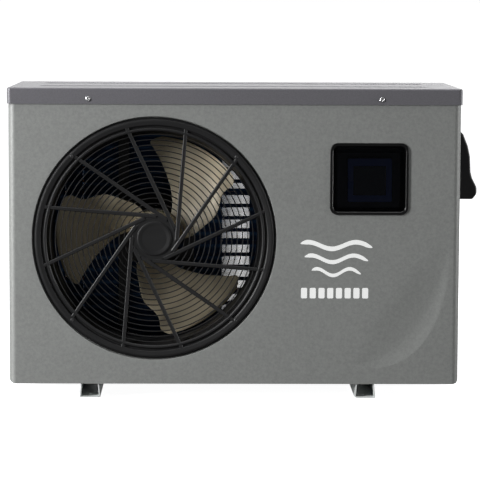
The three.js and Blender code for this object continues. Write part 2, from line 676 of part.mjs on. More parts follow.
function evaporatorFins() {
  const { right, back, deep, left, front, low, top, bendR } = COIL;
  const bendX = left + deep + bendR;
  const bendY = back - deep - bendR;
  const plan = new THREE.Shape();
  plan.moveTo(left, front);
  plan.lineTo(left + deep, front);
  plan.absarc(bendX, bendY, bendR, Math.PI, Math.PI / 2, true);
  plan.lineTo(right, back - deep);
  plan.lineTo(right, back);
  plan.absarc(bendX, bendY, bendR + deep, Math.PI / 2, Math.PI);
  return prismZ(plan, low, top, 6);
}

// The sheet at the right end of the coil, with the return bends that join its tubes in pairs.
function coilEndPlate() {
  const face = COIL.right + GAP;
  const y = COIL.back - COIL.deep / 2;
  const sheetY = [COIL.back - COIL.deep - 2, COIL.back + 2];
  const parts = [block([face, face + SHEET], sheetY, [COIL.low, COIL.top])];
  for (let k = 0; k < RETURN_BENDS; k++) {
    const z = COIL.low + TUBE_PITCH * (2 * k + 1);
    parts.push(swept(new ReturnBend(face + SHEET / 2, y, z, TUBE_PITCH / 2), TUBE_R, 4, 6));
  }
  return join(parts);
}

class ReturnBend extends THREE.Curve {
  constructor(x, y, z, r) {
    super();
    Object.assign(this, { x, y, z, r });
  }

  getPoint(t, target = new THREE.Vector3()) {
    const angle = Math.PI * (t - 0.5);
    return target.set(this.x + this.r * Math.cos(angle), this.y, this.z + this.r * Math.sin(angle));
  }
}

piece('evaporator_fins', aluminium, evaporatorFins());
piece('coil_end_plate', galvanised, coilEndPlate());

// ---------------------------------------------------------------- refrigerant circuit

const grommetPlaces = [90, 210, 330].map((angle) => {
  const [dx, dy] = polar(GROMMET_RING, angle);
  return [COMPRESSOR.x + dx, COMPRESSOR.y + dy];
});

function compressor() {
  const { x, y, r } = COMPRESSOR;
  const shell = [[0, 53], [40, 53], [r - 1, 64], [r, 70], [r, 270], [r - 5, 284], [30, 297],
    [12, 300], [12, 306], [0, 306]];
  const footR = 14;
  const foot = grommetPlaces.map(([gx, gy]) => rodZ(gx, gy, footR, 50, 53.5));
  const arms = grommetPlaces.map(([gx, gy]) => {
    const [ux, uy] = [(gx - x) / GROMMET_RING, (gy - y) / GROMMET_RING];
    const beside = (cx, cy, half) => [cx - uy * half, cy + ux * half];
    const arm = [beside(x, y, 30), beside(x, y, -30), beside(gx, gy, -footR), beside(gx, gy, footR)];
    return prismZ(polygon(arm), 50, 53.5);
  });
  return join([turnedZ(shell, x, y, 20), ...foot, ...arms]);
}

function grommet([x, y]) {
  const low = PAN_FLOOR + GAP;
  return turnedZ([[5, low], [12, low], [9, 40], [12, 49.7], [5, 49.7]], x, y, 10);
}

function accumulator() {
  const { x, y, r } = ACCUMULATOR;
  return turnedZ([[0, 96], [20, 98], [r, 110], [r, 270], [20, 284], [7, 287], [0, 287]], x, y, 16);
}

function terminalCover() {
  const profile = [[0, 306.4], [24, 306.4], [24, 322], [18, 328], [0, 328]];
  return turnedZ(profile, COMPRESSOR.x, COMPRESSOR.y, 14);
}

function fourWayValve() {
  const { x, y, z, r } = VALVE;
  const profile = [[0, x - 48], [8, x - 48], [r, x - 42], [r, x + 42], [8, x + 48], [0, x + 48]];
  const body = turnedX(profile, y, z, 14);
  const stubsBelow = [-24, 0, 24].map((dx) => rodZ(x + dx, y, 7.5, z - r - 10, z, 8));
  const stubAbove = rodZ(x, y, 7.5, z, z + r + 10, 8);
  const pilot = rodX(y - 20, z, 8, x - 16, x + 16, 10);
  const pilotFoot = block([x - 5, x + 5], [y - 20, y], [z - 4, z + 4]);
  return join([body, ...stubsBelow, stubAbove, pilot, pilotFoot]);
}

// The valve's outlet runs straight to the stub on the exchanger tank.
function expansionValve() {
  const { x, y, z } = EXPANSION;
  const profile = [[0, z - 12], [8, z - 12], [8, z + 14], [10, z + 18], [18, z + 18], [18, z + 48],
    [6, z + 52], [0, z + 52]];
  return turnedZ(profile, x, y, 12).add(rodX(y, z, 6, x, TANK_STUB_X - GAP, 8));
}

piece('compressor', steelBlack, compressor());
piece('accumulator', steelBlack, accumulator());
piece('terminal_cover', blackPlastic, terminalCover());
grommetPlaces.forEach((place, i) => piece(`compressor_grommet_${i + 1}`, rubber, grommet(place)));
piece('four_way_valve', brass, fourWayValve());
piece('expansion_valve', brass, expansionValve());

const valveLow = VALVE.z - VALVE.r - 10 - GAP;
const valveHigh = VALVE.z + VALVE.r + 10 + GAP;
const headerX = COIL.right + 2 * GAP + SHEET;
const headerY = COIL.back - 10;
const [CROSS_Z, DISCHARGE_Z, SUCTION_Z, OIL_Z] = [345, 440, 340, 74]; // levels that the pipes cross at

function onWayToAccumulator(d, z) {
  const [dx, dy] = [ACCUMULATOR.x - COMPRESSOR.x, ACCUMULATOR.y - COMPRESSOR.y];
  const span = Math.hypot(dx, dy);
  return [COMPRESSOR.x + (dx / span) * d, COMPRESSOR.y + (dy / span) * d, z];
}

function dischargePipe() {
  const x = COMPRESSOR.x - 35;
  return pipe([[x, COMPRESSOR.y, 297.6], [x, COMPRESSOR.y, DISCHARGE_Z], [VALVE.x, VALVE.y, DISCHARGE_Z],
    [VALVE.x, VALVE.y, valveHigh]], 5);
}

function suctionPipe() {
  const { x, y } = ACCUMULATOR;
  return pipe([[VALVE.x, VALVE.y, valveLow], [VALVE.x, VALVE.y, SUCTION_Z],
    [x, y, SUCTION_Z], [x, y, 287.4]], 6);
}

function accumulatorOutletPipe() {
  const { x, y } = ACCUMULATOR;
  return pipe([[x, y, 95.7], [x, y, OIL_Z], onWayToAccumulator(COMPRESSOR.r + 0.6, OIL_Z)], 6, 12, 8);
}

function evaporatorGasPipe() {
  const [x, riserX, z] = [VALVE.x - 24, 150, 560];
  return pipe([[x, VALVE.y, valveLow], [x, VALVE.y, CROSS_Z], [riserX, headerY, CROSS_Z],
    [riserX, headerY, z], [headerX, headerY, z]], 6, 13, 18);
}

function condenserGasPipe() {
  const [x, riserX, z] = [VALVE.x + 24, 250, TANK_STUB_Z[1]];
  return pipe([[x, VALVE.y, valveLow], [x, VALVE.y, CROSS_Z], [riserX, TANK.y, CROSS_Z],
    [riserX, TANK.y, z], [TANK_STUB_X - GAP, TANK.y, z]], 6, 11, 18);
}

function distributorPipe() {
  const { x, y, z } = EXPANSION;
  const level = 70;
  return pipe([[x, y, z - 12 - GAP], [x, y, level], [140, headerY, level],
    [headerX, headerY, level]], 4.5, 12, 18);
}

piece('discharge_pipe', copper, dischargePipe());
piece('suction_pipe', copper, suctionPipe());
piece('accumulator_outlet_pipe', copper, accumulatorOutletPipe());
piece('evaporator_gas_pipe', copper, evaporatorGasPipe());
piece('condenser_gas_pipe', copper, condenserGasPipe());
piece('distributor_pipe', copper, distributorPipe());

// ---------------------------------------------------------------- water side

function exchangerTank() {
  const { x, y, r, wall, low, top } = TANK;
  const dome = (edge, from, to) => {
    const half = [[0, 0], [edge - 22, 0], [edge - 4, 10], [edge, 22]]; // [radius, distance from the end]
    return [...half.map(([at, z]) => [at, from + z]), ...half.reverse().map(([at, z]) => [at, to - z])];
  };
  const neck = [[0, y + 40], [29, y + 40], [29, 361], [31, 361], [31, NECK_END], [0, NECK_END]];
  const outer = join([
    turnedZ(dome(r, low, top), x, y, 20),
    rodZ(x, y, 42, PAN_FLOOR + GAP, low + 12, 16),
    ...NECK_Z.map((z) => turnedY(neck, x, z, 20)),
    ...TANK_STUB_Z.map((z) => rodX(y, z, 8, TANK_STUB_X, x - r + 4, 8)),
  ]);
  const inner = turnedZ(dome(r - wall, low + wall, top - wall), x, y, 20);
  const bores = NECK_Z.map((z) => rodY(x, z, NECK_BORE, y, NECK_END + 1, 20));
  return cut(outer, [inner, ...bores, rodZ(x, SWITCH_Y, SWITCH_STEM_R + 0.4, NECK_Z[0], NECK_Z[0] + 40)]);
}

class Helix extends THREE.Curve {
  constructor(x, y, r, z0, z1, turns) {
    super();
    Object.assign(this, { x, y, r, z0, z1, turns });
  }

  getPoint(t, target = new THREE.Vector3()) {
    const [dx, dy] = polar(this.r, 360 * this.turns * t);
    return target.set(this.x + dx, this.y + dy, this.z0 + t * (this.z1 - this.z0));
  }
}

function unionNut(z) {
  const profile = [[28.7, 390.6], [28.7, 386.7], [31.7, 386.7], [31.7, 361.6], [40, 361.6], [40, 388],
    [37, 390.6]];
  const lugs = [0, 60, 120, 180, 240, 300].map((angle) => {
    const corners = [[38, -4], [43, -2.5], [43, 2.5], [38, 4]].map(([r, side]) => {
      const [ux, uz] = polar(1, angle);
      return [TANK.x + r * ux - side * uz, z + r * uz + side * ux];
    });
    return prismY(polygon(corners), 363, 387);
  });
  return join([turnedY(profile, TANK.x, z, 20), ...lugs]);
}

function tailpiece(z) {
  const shoulder = 380;
  const socketEnd = 392;
  const profile = [[PIPE_SOCKET_R, socketEnd], [PIPE_SOCKET_R, TAIL_END], [28, TAIL_END], [28, 386.4],
    [30.8, 386.4], [30.8, shoulder], [NECK_BORE, shoulder], [NECK_BORE, socketEnd]];
  return turnedY(profile, TANK.x, z, 20);
}

function flatSeal(z) {
  const [front, back] = [NECK_END + GAP, 379.7];
  return turnedY([[23, front], [30, front], [30, back], [23, back]], TANK.x, z, 16);
}

function flowSwitch() {
  const z = NECK_Z[0];
  const r = SWITCH_STEM_R;
  const profile = [[0, z + 21], [r, z + 21], [r, z + 30], [12.5, z + 30], [12.5, z + 44], [9, z + 46],
    [9, z + 62], [0, z + 62]];
  return turnedZ(profile, TANK.x, SWITCH_Y, 10);
}

function flowPaddle() {
  const z = NECK_Z[0];
  return block([TANK.x - 6, TANK.x + 6], [SWITCH_Y - 0.8, SWITCH_Y + 0.8], [z - 14, z + 19]);
}

piece('exchanger_tank', tankPlastic, exchangerTank());
piece('exchanger_coil', titanium, swept(new Helix(TANK.x, TANK.y, 47, 100, 430, 5), 6, 40, 6));
[['inlet', NECK_Z[0]], ['outlet', NECK_Z[1]]].forEach(([name, z]) => {
  piece(`${name}_union_nut`, tankPlastic, unionNut(z));
  piece(`${name}_tailpiece`, tankPlastic, tailpiece(z));
  piece(`${name}_seal`, rubber, flatSeal(z));
});
piece('flow_switch', blackPlastic, flowSwitch());
piece('flow_paddle', zinc, flowPaddle());

// ---------------------------------------------------------------- controls

function controlBezel() {
  const rim = prismY(roundedRect(BEZEL.x, BEZEL.z, BEZEL.w, BEZEL.h, BEZEL.r), -2.3, -GAP, 5);
  const tub = prismY(roundedRect(BEZEL.x, BEZEL.z, TUB.w, TUB.h, TUB.r), -1, TUB.floor + TUB.wall, 5);
  const outline = ({ w, h, r }) => roundedRect(BEZEL.x, BEZEL.z, w, h, r).getPoints(4).slice(0, -1);
  const mouth = prismY(roundedRect(BEZEL.x, BEZEL.z, OPENING.w, OPENING.h, OPENING.r), -4, 4.1);
  const hollow = loftY(outline(OPENING), 4, outline(TUB_FLOOR), TUB.floor);
  const socketHalf = TUB.w / 2 + 1;
  const sockets = [-1, 1].map((side) => {
    const ends = [side * (OPENING.w / 2 - 5), side * socketHalf].sort((a, b) => a - b);
    return rodX(HINGE.y, HINGE.z, HINGE.pinR + 0.4, BEZEL.x + ends[0], BEZEL.x + ends[1]);
  });
  const scoopY = -2.3;
  const scoop = rodX(scoopY, BEZEL.z - OPENING.h / 2, 4, BEZEL.x - 14, BEZEL.x + 14);
  return cut(rim.add(tub), [mouth, hollow, ...sockets, scoop]);
}

function displayModule() {
  const outline = roundedRect(MODULE.x, MODULE.z, MODULE.w, MODULE.h, 3);
  const pocket = screenBlock(0.4, [MODULE.y - 1, MODULE.y + 1.6]);
  return prismY(outline, MODULE.y, TUB.floor - GAP).subtract(pocket);
}

function screenBlock(grow, y) {
  const [halfW, halfH] = [SCREEN.w / 2 + grow, SCREEN.h / 2 + grow];
  return block([SCREEN.x - halfW, SCREEN.x + halfW], y, [SCREEN.z - halfH, SCREEN.z + halfH]);
}

const displayScreen = () => screenBlock(0, [MODULE.y + 0.1, MODULE.y + 1.2]);

function displayCover() {
  const plate = roundedRect(BEZEL.x, BEZEL.z - 0.1, OPENING.w - 1.2, OPENING.h - 1.4, OPENING.r - 0.6);
  const pinHalf = TUB.w / 2 - 0.7;
  const pin = rodX(HINGE.y, HINGE.z, HINGE.pinR, BEZEL.x - pinHalf, BEZEL.x + pinHalf);
  return prismY(plate, 0.4, 3).add(pin);
}

function inverterBox() {
  const [x, y, z] = [[112, 424], [40, 300], [505, 588]];
  const wall = 2;
  const hollow = block([x[0] + wall, x[1] - wall], [y[0] + wall, y[1] - wall], [z[0] + wall, z[1] + 1]);
  return block(x, y, z).subtract(hollow);
}

function heatSink() {
  const back = PARTITION_X - GAP;
  const parts = [block([back - 6, back], [100, 220], [510, 585])];
  for (let k = 0; k < 8; k++) {
    const y = 101 + k * 16.5;
    parts.push(block([66, back - 3], [y, y + 2], [510, 585]));
  }
  return join(parts);
}

function terminalBlock() {
  const parts = [block([404, 430], [95, 180], [468, 486]), block([404, 412], [95, 180], [480, 504.6])];
  for (let k = 0; k < 6; k++) {
    const y = 95 + k * 16.6;
    parts.push(block([410, 430], [y, y + 2], [462, 494]));
  }
  return join(parts);
}

piece('control_bezel', glossBlack, controlBezel());
piece('display_module', glossBlack, displayModule());
piece('display_screen', screenGlass, displayScreen());
piece('display_cover', smoked, displayCover());
piece('inverter_box', galvanised, inverterBox());
piece('heat_sink', aluminium, heatSink());
piece('terminal_block', blackPlastic, terminalBlock());

// ---------------------------------------------------------------- origin

// The row's origin is the middle of the footprint, on the floor.

const footprint = new THREE.Box3().setFromObject(unit);
const middle = footprint.getCenter(new THREE.Vector3());
unit.position.set(-middle.x, -middle.y, -footprint.min.z);

const heatPump = new THREE.Group();
heatPump.name = 'pool_heat_pump';
heatPump.add(unit);

export default heatPump;
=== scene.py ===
"""Pool heat pump unit: the finished surfaces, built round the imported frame.

Shapes are worked out in the case frame, in millimetres: x = 0 is the middle of the case, y = 0 is the
face of the front panel and z = 0 is the floor. They are written in metres in the row frame.
"""

import json
import math

import bmesh
import bpy
from mathutils import Matrix, Vector
from mathutils.geometry import delaunay_2d_cdt

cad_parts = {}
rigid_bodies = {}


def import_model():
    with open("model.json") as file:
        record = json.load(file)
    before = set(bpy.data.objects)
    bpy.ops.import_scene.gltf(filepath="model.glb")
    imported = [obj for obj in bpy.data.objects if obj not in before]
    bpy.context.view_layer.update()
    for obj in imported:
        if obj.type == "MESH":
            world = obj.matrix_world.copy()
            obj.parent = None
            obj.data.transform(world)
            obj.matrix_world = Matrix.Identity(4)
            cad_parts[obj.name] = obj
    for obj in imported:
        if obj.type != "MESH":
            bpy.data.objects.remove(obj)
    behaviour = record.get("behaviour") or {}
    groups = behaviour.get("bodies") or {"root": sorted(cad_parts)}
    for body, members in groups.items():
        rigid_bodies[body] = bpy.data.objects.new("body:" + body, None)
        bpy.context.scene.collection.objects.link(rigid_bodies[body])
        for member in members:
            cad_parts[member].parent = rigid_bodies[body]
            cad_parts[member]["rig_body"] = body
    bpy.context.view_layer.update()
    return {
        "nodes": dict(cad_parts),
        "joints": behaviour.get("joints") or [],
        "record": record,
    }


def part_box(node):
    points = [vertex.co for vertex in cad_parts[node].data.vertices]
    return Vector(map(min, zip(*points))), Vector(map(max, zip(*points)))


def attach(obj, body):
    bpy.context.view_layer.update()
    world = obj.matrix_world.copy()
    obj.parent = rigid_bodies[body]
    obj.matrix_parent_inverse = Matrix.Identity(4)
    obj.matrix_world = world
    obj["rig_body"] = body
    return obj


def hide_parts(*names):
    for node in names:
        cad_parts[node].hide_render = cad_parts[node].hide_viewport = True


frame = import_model()
RECORD = frame["record"]
NODES = frame["nodes"]
SLOT_OF = {part["node"]: part["material_slot"] for part in RECORD["subparts"]}
MM = 0.001

# ---- places, from the frame

COVER_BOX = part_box("top_cover")
ORIGIN = Vector(((COVER_BOX[0].x + COVER_BOX[1].x) / 2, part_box("front_panel")[0].y, 0.0))


def in_case(point):
    return (Vector(point) - ORIGIN) / MM


def span(node):
    """A CAD node's lowest and highest corners in the case frame."""
    low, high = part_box(node)
    return in_case(low), in_case(high)


def middle(node):
    low, high = span(node)
    return (low + high) / 2


def placed(node):
    """A CAD node's middle and its lowest and highest corners."""
    return middle(node), *span(node)


def joint_place(name):
    return in_case(next(j for j in frame["joints"] if j["name"] == name)["pos_m"])


SHEET = 1.2  # painted steel sheet
TUBE_PITCH = 25.4  # from one level tube of the evaporator to the next
LID_LOW, LID_HIGH = span("top_cover")
PANEL_LOW, PANEL_HIGH = span("front_panel")
CASE_HALF = (PANEL_HIGH.x - PANEL_LOW.x) / 2
FAN = joint_place("fan_spin")
GRILLE_R = (span("fan_grille")[1].x - span("fan_grille")[0].x) / 2

# ---- shapes


class Shape:
    """Points in the case frame, in millimetres, and the faces between them."""

    def __init__(self):
        self.points = []
        self.faces = []

    def add(self, points, faces):
        start = len(self.points)
        self.points += [Vector(p) for p in points]
        self.faces += [tuple(start + i for i in face) for face in faces]
        return self

    def lattice(self, rows, wrap_rows=False, wrap_columns=False, caps=False):
        """A surface through rows of points, each row with the same number of them."""
        n, m = len(rows), len(rows[0])
        faces = []
        for i in range(n if wrap_rows else n - 1):
            for j in range(m if wrap_columns else m - 1):
                a, b, c, d = i * m, (i + 1) % n * m, j, (j + 1) % m
                faces.append((a + c, b + c, b + d, a + d))
        if caps:
            faces += [tuple(range(m)), tuple((n - 1) * m + j for j in range(m))]
        return self.add([p for row in rows for p in row], faces)


def on_axis(axis, centre, u, v, along):
    """The point at (u, v) across an axis through centre, at a coordinate along it."""
    if axis == "X":
        return (along, centre[1] + u, centre[2] + v)
    if axis == "Y":
        return (centre[0] + u, along, centre[2] + v)
    return (centre[0] + u, centre[1] + v, along)


def polar(r, degrees):
    return r * math.cos(math.radians(degrees)), r * math.sin(math.radians(degrees))


def circle(r, count):
    return [polar(r, 360 * k / count) for k in range(count)]


def rounded(outline, radius, steps=4, closed=True):
    """An outline of (u, v) with its corners rounded; a third number sets one corner's own radius."""
    out = []
    for i, corner in enumerate(outline):
        r = corner[2] if len(corner) > 2 else radius
        here = Vector(corner[:2])
        if r <= 0 or (not closed and i in (0, len(outline) - 1)):
            out.append(here)
            continue
        before = Vector(outline[i - 1][:2]) - here
        after = Vector(outline[(i + 1) % len(outline)][:2]) - here
        half = before.angle(after) / 2
        reach = min(r / math.tan(half), 0.48 * before.length, 0.48 * after.length)
        start, end = here + before.normalized() * reach, here + after.normalized() * reach
        for k in range(steps + 1):
            t = k / steps
            out.append(start.lerp(here, t).lerp(here.lerp(end, t), t))
    return out


def turned(profile, centre, axis="Y", segments=96, closed=True, shape=None, swell=None):
    """A profile of (radius, place) turned round an axis. swell(angle, radius, place) adds to a radius."""
    rows = []
    for k in range(segments):
        angle = 360 * k / segments
        row = []
        for r, along in profile:
            grown = r + swell(angle, r, along) if swell else r
            row.append(on_axis(axis, centre, *polar(grown, angle), along))
        rows.append(row)
    return (shape or Shape()).lattice(rows, wrap_rows=True, wrap_columns=closed)


def rounded_rect(u, v, width, height, r, steps=8):
    corners = [(1, -1, -90), (1, 1, 0), (-1, 1, 90), (-1, -1, 180)]
    points = []
    for su, sv, start in corners:
        cu, cv = u + su * (width / 2 - r), v + sv * (height / 2 - r)
        for k in range(steps + 1):
            du, dv = polar(r, start + 90 * k / steps)
            points.append((cu + du, cv + dv))
    return points


def prism(outline, low, high, axis="Y", shape=None):
    """A flat outline pushed along an axis. For Y the outline is in x and z, for Z in x and y."""
    rows = [[on_axis(axis, (0, 0, 0), u, v, along) for u, v in outline] for along in (low, high)]
    return (shape or Shape()).lattice(rows, wrap_columns=True, caps=True)


def swept(path, radius, sides, shape):
    """A round rod along a list of points."""
    points = [Vector(p) for p in path]
    rows = []
    normal = None
    for i, here in enumerate(points):
        ahead = (points[min(i + 1, len(points) - 1)] - points[max(i - 1, 0)]).normalized()
        if normal is None:
            normal = ahead.orthogonal().normalized()
        normal = (normal - ahead * normal.dot(ahead)).normalized()
        side = ahead.cross(normal)
        rows.append([here + normal * du + side * dv for du, dv in circle(radius, sides)])
    return shape.lattice(rows, wrap_columns=True, caps=True)


def inside(point, outline):
    x, y = point
    hit = False
    for i, (x1, y1) in enumerate(outline):
        x0, y0 = outline[i - 1]
        if (y0 > y) != (y1 > y) and x < x0 + (y - y0) * (x1 - x0) / (y1 - y0):
            hit = not hit
    return hit


def flat_sheet(outer, holes, extra=()):
    """Triangles between an outline and its holes, through extra points.

    Gives points, faces and, for each point, its place in the list outer + holes + extra, or None.
    """
    loops = [outer, *holes]
    coords, edges = [], []
    for loop in loops:
        start = len(coords)
        coords += [Vector(p) for p in loop]
        edges += [(start + i, start + (i + 1) % len(loop)) for i in range(len(loop))]
    coords += [Vector(p) for p in extra]
    points, _, faces, sources, _, _ = delaunay_2d_cdt(coords, edges, [], 0, 1e-5, True)
    kept = []
    for face in faces:
        centre = sum((points[i] for i in face), Vector((0, 0))) / len(face)
        if inside(centre, outer) and not any(inside(centre, hole) for hole in holes):
            kept.append(tuple(face))
    return points, kept, [source[0] if source else None for source in sources]


# ---- pieces


def dress(obj, node, slot, material, replaces):
    """Gives a new piece its material, picked by its slot, and the body it rides on, and hides the CAD nodes
    it takes the place of.
    """
    slot = slot or SLOT_OF[node]
    obj.data.materials.clear()
    obj.data.materials.append(material or MATERIALS[slot])
    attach(obj, NODES[node]["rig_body"])
    if replaces:
        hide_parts(*replaces)


def settle(mesh, sharp):
    """Smooth shading, with edges sharper than an angle left crisp."""
    mesh.shade_smooth()
    mesh.set_sharp_from_angle(angle=math.radians(sharp))


BEVEL_TURN = 30  # degrees by which an edge has to turn before it is rounded


def bevelled(bm, width):
    edges = [e for e in bm.edges if e.is_manifold and e.calc_face_angle(0) > math.radians(BEVEL_TURN)]
    bmesh.ops.bevel(
        bm, geom=edges, offset=width * MM, offset_type="OFFSET", segments=2, profile=0.5,
        affect="EDGES", clamp_overlap=True,
    )


def linked(name, data):
    """A new object in the scene."""
    obj = bpy.data.objects.new(name, data)
    bpy.context.scene.collection.objects.link(obj)
    return obj


def to_object(bm, name, sharp):
    mesh = bpy.data.meshes.new(name)
    bm.to_mesh(mesh)
    bm.free()
    settle(mesh, sharp)
    obj = linked(name, mesh)
    weighted = obj.modifiers.new("weighted_normals", "WEIGHTED_NORMAL")
    weighted.keep_sharp = True
    return obj


def thicken(obj, thickness):
    """Gives an open sheet its thickness, away from its outer face."""
    solidify = obj.modifiers.new("sheet", "SOLIDIFY")
    solidify.thickness = thickness * MM
    solidify.offset = -1
    solidify.use_even_offset = True
    obj.modifiers.move(1, 0)
    depsgraph = bpy.context.evaluated_depsgraph_get()
    obj.modifiers["weighted_normals"].show_viewport = False
    mesh = bpy.data.meshes.new_from_object(obj.evaluated_get(depsgraph))
    obj.modifiers.remove(obj.modifiers["sheet"])
    obj.modifiers["weighted_normals"].show_viewport = True
    obj.data = mesh
    settle(mesh, 40)


def make(node, shape, name=None, slot=None, material=None, replaces=None, sharp=40, sheet=0.0, facing=None):
    """Turns a Shape into a piece. facing is a direction that an open sheet's widest face looks to."""
    bm = bmesh.new()
    verts = [bm.verts.new(ORIGIN + p * MM) for p in shape.points]
    for face in shape.faces:
        bm.faces.new([verts[i] for i in face])
    bmesh.ops.remove_doubles(bm, verts=bm.verts, dist=0.004 * MM)
    bmesh.ops.recalc_face_normals(bm, faces=bm.faces)
    if facing is not None:
        widest = max(bm.faces, key=lambda f: f.calc_area())
        if widest.normal.dot(Vector(facing)) < 0:
            bmesh.ops.reverse_faces(bm, faces=bm.faces)
    obj = to_object(bm, name or f"{node}_finished", sharp)
    if sheet:
        thicken(obj, sheet)
    dress(obj, node, slot, material, [node] if replaces is None else replaces)


def polished(node, bevel=0.0):
    """A CAD node's own shape with its flat faces joined up and its edges rounded."""
    bm = bmesh.new()
    bm.from_mesh(NODES[node].data)
    bmesh.ops.remove_doubles(bm, verts=bm.verts, dist=0.02 * MM)
    bmesh.ops.dissolve_limit(bm, angle_limit=math.radians(0.5), verts=bm.verts, edges=bm.edges)
    if bevel:
        bevelled(bm, bevel)
    dress(to_object(bm, f"{node}_finished", 35), node, None, None, [node])


# ---- materials


class Nodes:
    """A node tree, with short calls for the nodes that it uses."""

    def __init__(self, owner):
        owner.use_nodes = True
        self.tree = owner.node_tree

    def link(self, output, target):
        self.tree.links.new(output, target)

    def new(self, kind, **settings):
        node = self.tree.nodes.new("ShaderNode" + kind)
        for key, value in settings.items():
            setattr(node, key, value)
        return node

    def put(self, value, socket):
        """Links an output to a socket, or writes a number, a vector or a colour into it."""
        if isinstance(value, bpy.types.NodeSocket):
            self.link(value, socket)
        elif isinstance(value, (int, float)):
            socket.default_value = value
        else:
            socket.default_value = (*value, 1.0) if socket.type == "RGBA" else value

    def fill(self, node, **inputs):
        """Gives each named input of a node its value."""
        for key, value in inputs.items():
            self.put(value, node.inputs[key.replace("_", " ")])
        return node

    def ramp(self, source, low, high, out_low=0.0, out_high=1.0):
        node = self.fill(self.new("MapRange"), Value=source, From_Min=low, From_Max=high,
                         To_Min=out_low, To_Max=out_high)
        return node.outputs["Result"]

    def mix(self, factor, a, b, blend="MIX"):
        node = self.new("Mix", data_type="RGBA", blend_type=blend)
        for value, socket in ((factor, 0), (a, 6), (b, 7)):
            self.put(value, node.inputs[socket])
        return node.outputs[2]


class Material(Nodes):
    """A new material, painted in object coordinates."""

    def __init__(self, name):
        self.material = bpy.data.materials.new(name)
        super().__init__(self.material)
        self.shader = self.tree.nodes["Principled BSDF"]
        self.coordinates = self.new("TexCoord").outputs["Object"]

    def mapped(self, **mapping):
        """Object coordinates, scaled or turned."""
        return self.fill(self.new("Mapping"), Vector=self.coordinates, **mapping).outputs["Vector"]

    def noise(self, scale, detail=3.0, rough=0.55, stretch=None):
        """Noise whose grain is 1 / scale metres across."""
        source = self.mapped(Scale=stretch) if stretch else self.coordinates
        node = self.fill(self.new("TexNoise"), Vector=source, Scale=scale, Detail=detail, Roughness=rough)
        return node.outputs["Fac"]

    def bump(self, height, strength, distance_mm, below=None):
        node = self.fill(self.new("Bump"), Height=height, Strength=strength, Distance=distance_mm * MM)
        if below:
            self.link(below, node.inputs["Normal"])
        return node.outputs["Normal"]

    def set(self, **inputs):
        self.fill(self.shader, **inputs)


def linear(r, g, b):
    """A colour given as 0 to 255 in sRGB."""
    return tuple(c / 255 / 12.92 if c <= 10 else ((c / 255 + 0.055) / 1.055) ** 2.4 for c in (r, g, b))


def shade(colour, factor):
    return tuple(min(1.0, c * factor) for c in colour)


def powder_coat(name, colour, roughness, grain_mm=2.6, strength=0.35, metallic=0.0):
    """Textured powder coat: a fine wrinkle, uneven gloss, faint cloudiness and a painted highlight along
    rounded edges.
    """
    m = Material(name)
    grain = m.noise(1000 / grain_mm, 2.0)
    fine = m.noise(1400, 1.0)
    cloud = m.noise(9, 3.0)
    speck = m.ramp(m.noise(520, 2.0), 0.42, 0.62)
    base = m.mix(m.ramp(cloud, 0.3, 0.7), shade(colour, 0.965), shade(colour, 1.035))
    base = m.mix(m.ramp(speck, 0.0, 1.0, 0.0, 0.2), base, shade(colour, 1.35))
    mottle = m.ramp(m.noise(1000 / (2.2 * grain_mm), 2.0, 0.7), 0.32, 0.68)
    base = m.mix(0.5, base, m.mix(mottle, shade(colour, 0.84), shade(colour, 1.16)))
    # Painted highlight: where the surface rounds off at an edge, the colour is drawn lighter, as if the edge
    # caught the light.
    highlight_bevel = m.fill(m.new("Bevel", samples=4), Radius=1.5 * MM)
    facing = m.new("VectorMath", operation="DOT_PRODUCT")
    m.link(highlight_bevel.outputs["Normal"], facing.inputs[0])
    m.link(m.new("NewGeometry").outputs["Normal"], facing.inputs[1])
    edge = m.ramp(facing.outputs["Value"], 0.99, 0.8, 0.0, 0.35)
    base = m.mix(edge, base, shade(colour, 1.5))
    normal = m.bump(fine, 0.12, 0.15, m.bump(grain, strength, 0.5))
    m.set(Base_Color=base, Roughness=m.ramp(grain, 0.3, 0.7, roughness - 0.06, roughness + 0.06),
          Metallic=metallic, Normal=normal)
    return m.material


def moulded(name, colour, roughness, grain_mm=0.6, strength=0.2, coat=0.0):
    """Moulded plastic: a fine tooled grain and faint flow marks."""
    m = Material(name)
    grain = m.noise(1000 / grain_mm, 2.0)
    marks = m.noise(14, 2.0, stretch=(1, 1, 3))
    base = m.mix(m.ramp(marks, 0.3, 0.7), shade(colour, 0.96), shade(colour, 1.04))
    m.set(Base_Color=base, Roughness=m.ramp(marks, 0.3, 0.7, roughness - 0.04, roughness + 0.04),
          Normal=m.bump(grain, strength, 0.12), Coat_Weight=coat, Coat_Roughness=0.08)
    return m.material


def metal(name, colour, roughness, stretch=(1, 1, 1), grain=600, tarnish=None):
    """Bare or plated metal, with a drawn or spangled grain."""
    m = Material(name)
    drawn = m.noise(grain, 3.0, stretch=stretch)
    patches = m.noise(24, 4.0)
    base = m.mix(m.ramp(patches, 0.35, 0.65), shade(colour, 0.9), shade(colour, 1.08))
    if tarnish:
        base = m.mix(m.ramp(patches, 0.52, 0.72, 0.0, 0.6), base, tarnish)
    gloss = m.ramp(drawn, 0.3, 0.7, roughness - 0.08, roughness + 0.1)
    m.set(Base_Color=base, Metallic=1.0, Roughness=gloss, Normal=m.bump(drawn, 0.12, 0.1))
    return m.material


def galvanised(name):
    """Zinc-coated sheet: irregular crystals with slightly different greys."""
    m = Material(name)
    crystals = m.fill(m.new("TexVoronoi"), Vector=m.coordinates, Scale=130)
    tone = m.ramp(crystals.outputs["Color"], 0.0, 1.0)
    base = m.mix(tone, (0.42, 0.44, 0.46), (0.62, 0.64, 0.66))
    m.set(Base_Color=base, Metallic=0.9, Roughness=m.ramp(tone, 0.0, 1.0, 0.38, 0.55),
          Normal=m.bump(m.noise(700), 0.08, 0.1))
    return m.material


